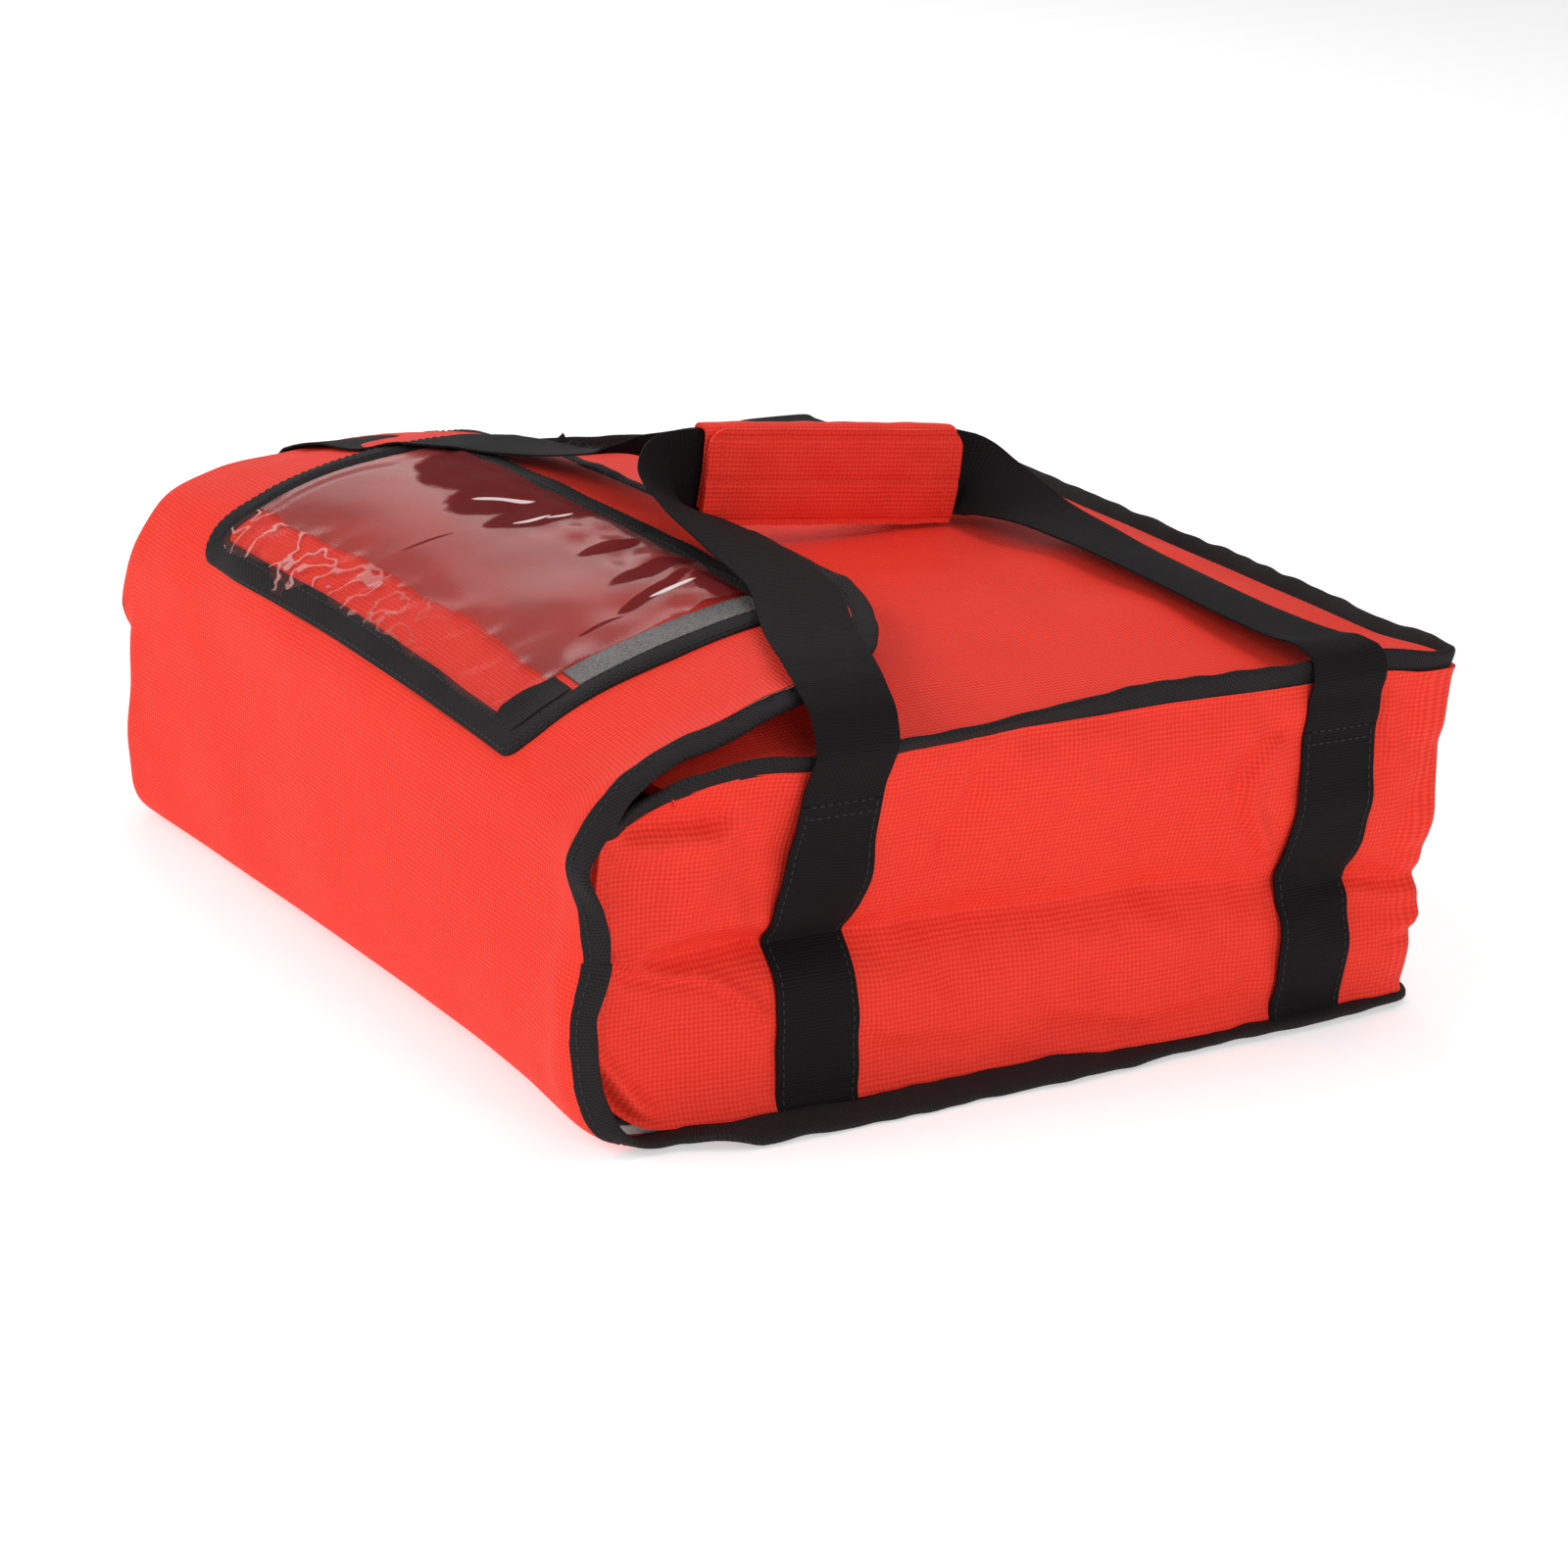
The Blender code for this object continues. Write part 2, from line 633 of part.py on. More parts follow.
def leg_route(side, end):
    """Centre line of a free leg: from the sewn length, round the top seam and in to the grip."""
    start_y = NEAR_LEG_Y if end < 0 else FAR_LEG_Y
    stack = (WEBBING + GAP) / 2
    reach = GRIP_LENGTH / 2 + GAP
    mouth = grip_place() + Vector(
        (side * stack, end * reach * cos(GRIP_TILT), -end * reach * sin(GRIP_TILT))
    )
    lead = Vector((0, end * cos(GRIP_TILT), -end * sin(GRIP_TILT)))
    out_x = HALF_WIDTH + FIN + GAP + WEBBING
    over_z = FLAP_TOP + LEG_REST_HEIGHT
    fin_low = BODY_HEIGHT - FIN_THICKNESS
    sewn_x = HALF_WIDTH + swell_at(SEWN_TOP) + GAP + WEBBING / 2
    rising = (
        (sewn_x, SEWN_TOP + GAP),
        ((sewn_x + out_x) / 2, (SEWN_TOP + fin_low) / 2),
        (out_x, fin_low - WEBBING),
        (out_x, BODY_HEIGHT),
        (out_x, FLAP_TOP),
        (HALF_WIDTH - FIN, over_z),
    )
    points = [Vector((side * x, start_y, z)) for x, z in rising]
    run_x = HALF_WIDTH - FIN - stack
    for across, along, up in LEG_SHARES:
        x = side * (HALF_WIDTH - FIN - run_x * across)
        y = start_y + (mouth.y - start_y) * along
        points.append(Vector((x, y, over_z + (mouth.z - over_z) * up)))
    points.append(mouth + lead * LEG_LEAD + Vector((side * LEG_LEAD_SPREAD, 0, 0)))
    points.append(mouth)
    return points


def leg(name, side, end, made_of):
    """A free leg of a handle: webbing that lies flat at the seam and stands on edge at the grip."""
    line = leg_curve(leg_route(side, end), LEG_STATIONS)
    start, finish_at = LEG_TWIST_SHARES
    half, depth = WEBBING_WIDTH / 2, WEBBING / 2
    rings = []
    mesh = bmesh.new()
    for n, point in enumerate(line):
        along = (line[min(n + 1, LEG_STATIONS)] - line[max(n - 1, 0)]).normalized()
        if n == 0:
            along = Vector((0, 0, 1))
        if n == LEG_STATIONS:
            along = Vector((0, -end * cos(GRIP_TILT), end * sin(GRIP_TILT)))
        turn = smooth((n / LEG_STATIONS - start) / (finish_at - start)) * pi / 2
        across = Vector((0, cos(turn), end * sin(turn)))
        across = (across - along * across.dot(along)).normalized()
        thick = along.cross(across)
        places = [half * (2 * m / LEG_STRIPS - 1) for m in range(LEG_STRIPS + 1)]
        lower = [mesh.verts.new(point + across * place - thick * depth) for place in places]
        upper = [mesh.verts.new(point + across * place + thick * depth) for place in places]
        rings.append((lower, upper))
    for (low, high), (next_low, next_high) in zip(rings, rings[1:]):
        for m in range(LEG_STRIPS):
            for row, next_row in ((low, next_low), (high, next_high)):
                mesh.faces.new((row[m], row[m + 1], next_row[m + 1]))
                mesh.faces.new((row[m], next_row[m + 1], next_row[m]))
        for m in (0, -1):
            mesh.faces.new((low[m], high[m], next_high[m], next_low[m]))
    for low, high in (rings[0], rings[-1]):
        mesh.faces.new(low + high[::-1])
    bmesh.ops.recalc_face_normals(mesh, faces=mesh.faces)
    data = bpy.data.meshes.new(name)
    mesh.to_mesh(data)
    mesh.free()
    return finish(bpy.data.objects.new(name, data), made_of)


def handles(webbing):
    """Each handle is one length of webbing: two sewn lengths, two free legs and the held middle."""
    low = FIN_LIFT + FIN_THICKNESS + GAP
    for side, sign in (("right", 1), ("left", -1)):
        for place, end, y in (("near", -1, NEAR_LEG_Y), ("far", 1, FAR_LEG_Y)):
            half = WEBBING_WIDTH / 2
            levels = [WALL_LOW + share * (WALL_HIGH - WALL_LOW) for share, _, _ in SWELL]
            levels = [low] + [z for z in levels if low < z < SEWN_TOP] + [SEWN_TOP]
            inner = [(sign * (HALF_WIDTH + swell_at(z) + GAP), z) for z in levels]
            outer = [(x + sign * WEBBING, z) for x, z in inner]
            sewn = prism(f"{side}_{place}_sewn_webbing", inner + outer[::-1], "Y", y - half, y + half)
            finish(sewn, webbing)
            leg(f"{side}_{place}_leg", sign, end, webbing)


def grip(fabric, webbing, loop, hook, grip_empty):
    """The padded wrap, modelled about the grip's centre with its length along Y."""
    half = GRIP_LENGTH / 2
    high = GRIP_HALF_HEIGHT
    wide = GRIP_HOLLOW / 2 + GRIP_WALL
    tape_x = wide + GAP
    hook_x = tape_x + GRIP_TAPE_LAYER + GAP
    flap_x = hook_x + GRIP_TAPE_LAYER + GAP
    flap_out = flap_x + GRIP_FLAP_WALL

    def turned(inset):
        """The wrap's line from its bottom edge round the back and over the top."""
        radius = GRIP_ROUNDING - inset
        x, z = wide - inset, high - inset
        low = arc((radius - x, radius - z), radius, 270, 180)
        back = arc((radius - x, z - radius), radius, 180, 90)
        front = arc((x - radius, z - radius), radius, 90, 0)
        return [(flap_out, -z)] + low + back + front + [(x, GRIP_WALL * 3 - high)]

    wrap = prism("grip_wrap", turned(0) + turned(GRIP_WALL)[::-1], "Y", -half, half)
    finish(wrap, fabric, grip_empty)

    tape_half = GRIP_LOOP_WIDTH / 2
    tape_z = high - GRIP_ROUNDING - tape_half
    tape_end = half - GRIP_ROUNDING
    outline = [
        (tape_x, tape_z - tape_half),
        (tape_x + GRIP_TAPE_LAYER, tape_z - tape_half),
        (tape_x + GRIP_TAPE_LAYER, tape_z + tape_half),
        (tape_x, tape_z + tape_half),
    ]
    finish(prism("grip_loop", outline, "Y", -tape_end, tape_end), loop, grip_empty)

    stack = (WEBBING + GAP) / 2
    for name, sign in (("right_handle_middle", 1), ("left_handle_middle", -1)):
        low, top = sign * stack - WEBBING / 2, sign * stack + WEBBING / 2
        edge = WEBBING_WIDTH / 2
        outline = [(low, -edge), (top, -edge), (top, edge), (low, edge)]
        finish(prism(name, outline, "Y", -half, half), webbing, grip_empty)

    hinge_z = GRIP_WALL + GAP / 2 - high
    flap_empty = joint_empty("grip_flap_hinge", (flap_out, 0, hinge_z), grip_empty)
    top = high - hinge_z
    radius = GRIP_FLAP_CORNER
    outline = [(-half, GAP / 2), (half, GAP / 2)]
    outline += arc((half - radius, top - radius), radius, 0, 90, CORNER_STEPS)
    outline += arc((radius - half, top - radius), radius, 90, 180, CORNER_STEPS)
    flap = prism("grip_flap", outline, "X", -GRIP_FLAP_WALL, 0)
    finish(flap, fabric, flap_empty)
    low_x = hook_x - flap_out
    low_z = tape_z - tape_half - hinge_z
    outline = [
        (low_x, low_z),
        (low_x + GRIP_TAPE_LAYER, low_z),
        (low_x + GRIP_TAPE_LAYER, low_z + GRIP_LOOP_WIDTH),
        (low_x, low_z + GRIP_LOOP_WIDTH),
    ]
    finish(prism("grip_hook", outline, "Y", -tape_end, tape_end), hook, flap_empty)


def build():
    clear_scene()
    fabric = material("coated_polyester", (0.83, 0.055, 0.025), 0.62)
    foam = material("insulating_foam", (0.86, 0.86, 0.84), 0.90)
    foil = material("foil_lining", (0.80, 0.81, 0.82), 0.30, 0.85)
    tape = material("binding_tape", (0.012, 0.011, 0.012), 0.85)
    webbing = material("handle_webbing", (0.014, 0.012, 0.013), 0.80)
    film = material("clear_vinyl", (0.92, 0.93, 0.94), 0.08, 0.0, 0.35)
    loop = material("loop_tape", (0.020, 0.019, 0.020), 0.95)
    hook = material("hook_tape", (0.016, 0.016, 0.017), 0.60)

    front_empty = joint_empty("front_flap_hinge", (0, *BASE_FOLD))
    offset = (0, TOP_FOLD[0] - BASE_FOLD[0], TOP_FOLD[1] - BASE_FOLD[1])
    top_empty = joint_empty("top_flap_hinge", offset, front_empty)
    grip_empty = joint_empty("grip_lift", grip_place(), None, (-GRIP_TILT, 0, 0))

    long_panel(fabric, foam, foil, front_empty, top_empty)
    walls(fabric, foam, foil)
    top_panel(fabric, foam, foil)
    bindings(tape, front_empty, top_empty)
    closures(loop, hook, top_empty)
    pocket(film, tape, loop, hook, front_empty, top_empty)
    handles(webbing)
    grip(fabric, webbing, loop, hook, grip_empty)


build()
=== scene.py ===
"""Insulated pizza delivery bag: its looks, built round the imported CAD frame. Metres, +Z up, mouth at -Y."""
from math import cos, pi, radians, sin, tau

import bmesh
import bpy
import numpy as np
from mathutils import Matrix, Vector


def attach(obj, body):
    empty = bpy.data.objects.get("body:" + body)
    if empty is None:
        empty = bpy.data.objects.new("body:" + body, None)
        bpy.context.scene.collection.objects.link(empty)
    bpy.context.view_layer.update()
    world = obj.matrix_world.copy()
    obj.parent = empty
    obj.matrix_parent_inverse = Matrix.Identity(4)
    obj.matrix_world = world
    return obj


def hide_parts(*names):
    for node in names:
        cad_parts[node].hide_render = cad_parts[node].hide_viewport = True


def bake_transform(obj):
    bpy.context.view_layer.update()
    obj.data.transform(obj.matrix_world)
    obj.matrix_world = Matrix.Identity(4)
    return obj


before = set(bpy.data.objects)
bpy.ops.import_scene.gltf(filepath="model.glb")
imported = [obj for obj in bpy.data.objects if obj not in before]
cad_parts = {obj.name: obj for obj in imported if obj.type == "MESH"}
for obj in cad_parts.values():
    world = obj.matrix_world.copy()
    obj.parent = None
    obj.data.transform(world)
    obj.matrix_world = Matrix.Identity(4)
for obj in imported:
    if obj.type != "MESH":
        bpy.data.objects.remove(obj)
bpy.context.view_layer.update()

# Studio: a pale seamless floor, a wide soft key and fill, and a large pale screen behind the bag that
# shows in the clear pocket. The camera stands where the photograph's perspective puts it.
CAMERA_PLACE = (1.788, -1.108, 0.767)
CAMERA_TURN, CAMERA_PITCH, CAMERA_ROLL = radians(-57.7), radians(18.55), radians(2.94)


def studio():
    scene = bpy.context.scene
    scene.view_settings.view_transform = "Standard"
    scene.view_settings.look = "None"
    ahead = Vector((cos(CAMERA_PITCH) * sin(CAMERA_TURN), cos(CAMERA_PITCH) * cos(CAMERA_TURN), -sin(CAMERA_PITCH)))
    level = Vector((cos(CAMERA_TURN), -sin(CAMERA_TURN), 0))
    upright = level.cross(ahead)
    right = level * cos(CAMERA_ROLL) + upright * sin(CAMERA_ROLL)
    up = upright * cos(CAMERA_ROLL) - level * sin(CAMERA_ROLL)
    camera = bpy.data.objects.new("camera", bpy.data.cameras.new("camera"))
    camera.data.lens, camera.data.sensor_width = 108, 36
    camera.matrix_world = Matrix((right, up, -ahead)).transposed().to_4x4()
    camera.location = CAMERA_PLACE
    scene.collection.objects.link(camera)
    scene.camera = camera

    world = bpy.data.worlds.new("soft_white")
    world.use_nodes = True
    sky = world.node_tree.nodes["Background"]
    sky.inputs["Color"].default_value = (1.0, 1.0, 1.0, 1)
    sky.inputs["Strength"].default_value = 0.34
    scene.world = world
    for name, place, size, power in (
        ("key", (-0.7, -2.8, 1.9), 2.0, 55),
        ("fill", (2.9, -0.5, 1.2), 1.8, 31),
        ("screen", (-2.4, 0.75, 1.45), 1.3, 12),
        ("overhead", (0.2, 0.5, 3.0), 1.6, 23),
    ):
        lamp = bpy.data.lights.new(name, "AREA")
        lamp.size = size
        lamp.energy = power
        light = bpy.data.objects.new(name, lamp)
        light.location = place
        light.rotation_euler = (Vector((0, 0, 0.1)) - Vector(place)).to_track_quat("-Z", "Y").to_euler()
        scene.collection.objects.link(light)

    floor = bpy.data.objects.new("floor", bpy.data.meshes.new("floor"))
    floor.data.from_pydata([(-9, -9, 0), (9, -9, 0), (9, 9, 0), (-9, 9, 0)], [], [(0, 1, 2, 3)])
    pale = bpy.data.materials.new("pale_floor")
    pale.use_nodes = True
    surface = pale.node_tree.nodes["Principled BSDF"].inputs
    surface["Base Color"].default_value = (0.78, 0.78, 0.78, 1)
    surface["Roughness"].default_value = 0.9
    surface["Emission Color"].default_value = (1, 1, 1, 1)
    surface["Emission Strength"].default_value = 0.46
    floor.data.materials.append(pale)
    scene.collection.objects.link(floor)


studio()

# The long panel: one length of red coated polyester, quilted over foam and foil. It is the bag's base,
# then the front of the flap, then the flap's top. It bends at its two folds and is bound at every edge.
# Its outer face is held by profiles across the bag, read at marks along the cloth.
MARKS = np.array((0, 0.0261, 0.0575, 0.0889, 0.1159, 0.1429, 0.1699, 0.1976, 0.2251, 0.2526, 0.2787, 0.3087, 0.3437, 0.3918))
STATIONS = np.array((-0.2365, -0.15, 0, 0.15, 0.21, 0.2365))
PROFILES = np.array((
    ((-.15, 0), (-.177, 0), (-.2055, .0060), (-.2150, .0335), (-.2155, .0605), (-.2151, .0875), (-.2140, .1145),
     (-.2102, .1425), (-.1950, .1640), (-.1680, .1730), (-.141, .1768), (-.110, .1805), (-.074, .182), (-.025, .183)),
    ((-.15, 0), (-.177, 0), (-.203, .006), (-.2108, .0335), (-.2118, .0605), (-.2112, .0875), (-.2115, .1145),
     (-.2123, .142), (-.2035, .1665), (-.179, .1795), (-.1545, .188), (-.125, .1935), (-.09, .1965), (-.042, .1945)),
    ((-.15, 0), (-.1755, 0), (-.2035, .009), (-.2145, .0365), (-.2165, .063), (-.2165, .09), (-.2158, .117),
     (-.213, .1445), (-.195, .1645), (-.17, .1765), (-.145, .184), (-.1155, .19), (-.081, .1945), (-.033, .1945)),
    ((-.15, 0), (-.174, 0), (-.2045, .0085), (-.2165, .036), (-.2195, .0625), (-.219, .0895), (-.2175, .116),
     (-.213, .142), (-.193, .156), (-.168, .168), (-.1435, .1765), (-.1155, .185), (-.0825, .1915), (-.035, .1935)),
    ((-.15, 0), (-.176, 0), (-.2085, .0075), (-.2205, .034), (-.2215, .0615), (-.220, .0885), (-.220, .115),
     (-.2165, .141), (-.1985, .156), (-.1735, .1675), (-.1485, .1763), (-.1205, .1855), (-.087, .1905), (-.04, .191)),
    ((-.15, 0), (-.178, 0), (-.2120, .0080), (-.2260, .034), (-.2285, .06), (-.2230, .087), (-.2235, .114),
     (-.2262, .138), (-.2085, .159), (-.183, .172), (-.1575, .1795), (-.1290, .1880), (-.095, .1905), (-.05, .1885)),
))
LEFT_ROLL, RIGHT_ROLL = 0.0115, 0.0048
CLOTH_EDGE = 0.2365
CLOTH_BACK = -0.3625
CLOTH_HEM = 0.3918
SPLIT = 0.1429
FLAP_CORNER_ACROSS, FLAP_CORNER_ALONG = 0.125, 0.10
SKIN, FOAM, LINING, GAP = 0.0008, 0.006, 0.0004, 0.0003
PANEL = SKIN + GAP + FOAM + GAP + LINING
BOARD_INSET = 0.010
LOWER_FOLD = ((0, -0.180, 0), (0, -0.2161, 0.036))
UPPER_FOLD = ((0, -0.2175, 0.1450), (0, -0.1774, 0.1851))
FRONT_RIDES = ("body", "front_flap", *LOWER_FOLD)
FLAP_RIDES = ("front_flap", "top_flap", *UPPER_FOLD)


class Shade:
    """A shader socket that takes part in sums. They go through Math nodes."""

    def __init__(self, tree, socket):
        self.tree, self.socket = tree, socket

    def node(self, kind, settings=(), wires=(), out=0):
        """Any node: its type, its settings and the values or links of its sockets."""
        made = self.tree.nodes.new(kind)
        for name, value in dict(settings).items():
            setattr(made, name, value)
        for name, value in dict(wires).items():
            if isinstance(value, Shade):
                self.tree.links.new(value.socket, made.inputs[name])
            else:
                made.inputs[name].default_value = value
        return Shade(self.tree, made.outputs[out])

    def sum(self, operation, *values):
        return self.node("ShaderNodeMath", {"operation": operation}, dict(enumerate(values)))

    def __add__(self, other): return self.sum("ADD", self, other)
    def __radd__(self, other): return self.sum("ADD", other, self)
    def __sub__(self, other): return self.sum("SUBTRACT", self, other)
    def __rsub__(self, other): return self.sum("SUBTRACT", other, self)
    def __mul__(self, other): return self.sum("MULTIPLY", self, other)
    def __rmul__(self, other): return self.sum("MULTIPLY", other, self)
    def __truediv__(self, other): return self.sum("DIVIDE", self, other)
    def __pow__(self, other): return self.sum("POWER", self, other)

    def sine(self): return self.sum("SINE", self)
    def size(self): return self.sum("ABSOLUTE", self)

    def part(self, n):
        return self.node("ShaderNodeSeparateXYZ", (), {0: self}, n)

    def spots(self, scale, detail=3.0, rough=0.55):
        """Noise from 0 to 1 at this many spots to the metre."""
        return self.node("ShaderNodeTexNoise", (), {"Vector": self, "Scale": scale, "Detail": detail, "Roughness": rough})

    def rise(self, low, high):
        """0 below one value, 1 past another, and smooth between them."""
        return self.node("ShaderNodeMapRange", {"interpolation_type": "SMOOTHSTEP"},
                         {"Value": self, "From Min": low, "From Max": high})

    def between(self, low, high):
        """A colour between two, mixed by this value."""
        return self.node("ShaderNodeMix", {"data_type": "RGBA", "clamp_factor": True},
                         {0: self, 6: as_colour(low), 7: as_colour(high)}, 2)


def as_colour(value):
    return value if isinstance(value, Shade) else (*value, 1)


def finish_of(name, **fixed):
    """A material with its shader's own sockets set: returns it, its start for expressions and a function that plugs in."""
    made = bpy.data.materials.new(name)
    made.use_nodes = True
    tree = made.node_tree
    shader = tree.nodes["Principled BSDF"]
    for socket, value in fixed.items():
        shader.inputs[socket.replace("_", " ")].default_value = value
    start = Shade(tree, None)

    def plug(**varying):
        for socket, value in varying.items():
            if socket == "Height":
                bump = start.node("ShaderNodeBump", (), {"Strength": value[1], "Distance": value[2], "Height": value[0]})
                tree.links.new(bump.socket, shader.inputs["Normal"])
            else:
                tree.links.new(value.socket, shader.inputs[socket.replace("_", " ")])
    return made, start, plug


def oxford(name, light, dark, pitch=0.0021, **fixed):
    """Oxford cloth: doubled threads over and under in a brick pattern, with the coating's slight unevenness."""
    made, start, plug = finish_of(name, **fixed)
    place = start.node("ShaderNodeUVMap", {"uv_map": "cloth"})
    room = start.node("ShaderNodeTexCoord", out=3)
    wander = room.spots(300, 2) * 1.1
    across = place.part(0) * (pi / pitch) + wander
    along = place.part(1) * (pi / pitch) + wander
    lumps = (across + along).sine() * (across - along).sine()
    raised = lumps * 0.5 + 0.5
    slubs = (place.part(1) * 2600 + room.spots(40, 2) * 9).sine() * 0.5 + 0.5
    patches = room.spots(14, 4)
    soil = room.spots(90, 5, 0.65)
    tone = raised * 0.70 + patches * 0.28 + soil * 0.18 + slubs * 0.06 - 0.10
    plug(
        Base_Color=tone.between(dark, light),
        Roughness=0.66 - raised * 0.10 + soil * 0.10,
        Height=(raised + soil * 0.3, 0.75, 0.00050),
    )
    return made


RED = oxford("coated_polyester", (0.98, 0.060, 0.033), (0.66, 0.020, 0.011), Specular_IOR_Level=0.16)


def foam_finish():
    made, start, plug = finish_of("insulating_foam", Specular_IOR_Level=0.2)
    room = start.node("ShaderNodeTexCoord", out=3)
    cells = start.node("ShaderNodeTexVoronoi", (), {"Vector": room, "Scale": 900})
    cloud = room.spots(25)
    plug(Base_Color=(cloud * 0.5 + cells * 0.4).between((0.86, 0.86, 0.84), (0.62, 0.61, 0.58)),
         Roughness=0.86 + cloud * 0.08, Height=(cells, 0.5, 0.0003))
    return made


def foil_finish():
    made, start, plug = finish_of("foil_lining", Metallic=0.85, Coat_Weight=0.25, Coat_Roughness=0.2)
    room = start.node("ShaderNodeTexCoord", out=3)
    facets = start.node("ShaderNodeTexVoronoi", {"feature": "F2"}, {"Vector": room, "Scale": 75, "Randomness": 1.0})
    creases = room.spots(120, 6, 0.7)
    plug(Base_Color=creases.between((0.70, 0.71, 0.72), (0.90, 0.90, 0.91)),
         Roughness=0.22 + creases * 0.22, Height=(facets * 0.7 + creases * 0.5, 0.6, 0.0012))
    return made


FOAM_FINISH, FOIL_FINISH = foam_finish(), foil_finish()


def bent(low, high, slope_low, slope_high, t, wide):
    """A smooth curve from one value to the next, with the slopes at both."""
    value = low * (2 * t**3 - 3 * t**2 + 1) + high * (3 * t**2 - 2 * t**3)
    return value + wide * (slope_low * (t**3 - 2 * t**2 + t) + slope_high * (t**3 - t**2))


def through(knots, values, at):
    """Rows of values joined by a smooth curve over their knots, read at other places."""
    knots, values = np.asarray(knots, float), np.asarray(values, float)
    at = np.clip(np.asarray(at, float), knots[0], knots[-1])
    slopes = np.gradient(values, knots, axis=0)
    n = np.clip(np.searchsorted(knots, at, side="right") - 1, 0, len(knots) - 2)
    wide = knots[n + 1] - knots[n]
    t = (at - knots[n]) / wide
    t, wide = (q.reshape(q.shape + (1,) * (values.ndim - 1)) for q in (t, wide))
    return bent(values[n], values[n + 1], slopes[n], slopes[n + 1], t, wide)


def over_table(rows, columns, table, a, b):
    """A table's smooth surface, read at the points (a, b)."""
    a, b = np.broadcast_arrays(np.asarray(a, float), np.asarray(b, float))
    lines = through(rows, table, a.ravel())
    b = np.clip(b.ravel(), columns[0], columns[-1])
    n = np.clip(np.searchsorted(columns, b, side="right") - 1, 0, len(columns) - 2)
    slopes = np.gradient(lines, columns, axis=1)
    every = np.arange(len(b))
    wide = columns[n + 1] - columns[n]
    t = (b - columns[n]) / wide
    return bent(lines[every, n], lines[every, n + 1], slopes[every, n], slopes[every, n + 1], t, wide).reshape(a.shape)


def ripple(a, b, size, seed):
    """Gentle unevenness of about one, over a plane, with waves of about this size."""
    draw = np.random.default_rng(seed)
    total = 0
    for _ in range(8):
        turn, wave, start = draw.uniform(0, tau), size * draw.uniform(0.7, 1.5), draw.uniform(0, tau)
        total = total + np.sin((a * cos(turn) + b * sin(turn)) * (tau / wave) + start)
    return total / 2.8


def ease(value):
    """A smooth step from 0 to 1."""
    t = np.clip(value, 0, 1)
    return t * t * (3 - 2 * t)


def facing(grid):
    """The unit normals of a grid of points."""
    normal = np.cross(np.gradient(grid, axis=0), np.gradient(grid, axis=1))
    return normal / np.maximum(np.linalg.norm(normal, axis=-1, keepdims=True), 1e-12)


def face_outwards(mesh):
    shape = bmesh.new()
    shape.from_mesh(mesh)
    bmesh.ops.recalc_face_normals(shape, faces=shape.faces)
    shape.to_mesh(mesh)
    shape.free()


def placed(name, points, faces, flat, made_of, rides, stands_for, sharp=None):
    """A mesh with its cloth coordinates and finish. It rides on one body, given by name; given anything else, such as
    (body, body, start, end), it only has its transform baked in."""
    mesh = bpy.data.meshes.new(name)
    mesh.from_pydata(points.tolist(), [], faces)
    face_outwards(mesh)
    layer = mesh.uv_layers.new(name="cloth")
    corners = np.zeros(len(mesh.loops), np.int32)
    mesh.loops.foreach_get("vertex_index", corners)
    layer.data.foreach_set("uv", flat[corners].astype(np.float32).ravel())
    mesh.shade_smooth()
    if sharp:
        mesh.set_sharp_from_angle(angle=sharp)
    mesh.materials.append(made_of)
    made = bpy.data.objects.new(name, mesh)
    bpy.context.scene.collection.objects.link(made)
    if isinstance(rides, str):
        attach(made, rides)
    else:
        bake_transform(made)
    if stands_for:
        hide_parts(*stands_for)
    return made


def piece(name, outer, inner, cloth, made_of, rides, stands_for=(), slot=None, ring=False, cut=None):
    """A closed layer between two grids of points, with its cloth coordinates in metres."""
    high, wide = outer.shape[:2]
    rows = np.arange(high if ring else high - 1)
    i, j = np.meshgrid(rows, np.arange(wide - 1), indexing="ij")
    k = (i + 1) % high
    front = np.stack((i * wide + j, k * wide + j, k * wide + j + 1, i * wide + j + 1), -1).reshape(-1, 4)
    back = front[:, ::-1] + high * wide
    rims = []
    for column, flip in ((0, False), (wide - 1, True)):
        r = np.arange(high if ring else high - 1)
        a, b = r * wide + column, ((r + 1) % high) * wide + column
        quad = np.stack((b, a, a + high * wide, b + high * wide), -1)
        rims.append(quad[:, ::-1] if flip else quad)
    if not ring:
        for row, flip in ((0, True), (high - 1, False)):
            c = np.arange(wide - 1)
            a, b = row * wide + c, row * wide + c + 1
            quad = np.stack((b, a, a + high * wide, b + high * wide), -1)
            rims.append(quad[:, ::-1] if flip else quad)
    faces = np.concatenate((front, back, *rims))
    points = np.concatenate((outer.reshape(-1, 3), inner.reshape(-1, 3)))
    flat = np.concatenate((cloth.reshape(-1, 2), cloth.reshape(-1, 2)))
    return placed(name, points, faces.tolist(), flat, made_of, rides, stands_for, radians(52))


def across_piece(name, outer, inner, cloth, *rest):
    """The same for grids whose rows run along the bag's depth and columns across it."""
    return piece(name, *(grid.transpose(1, 0, 2) for grid in (outer, inner, cloth)), *rest)


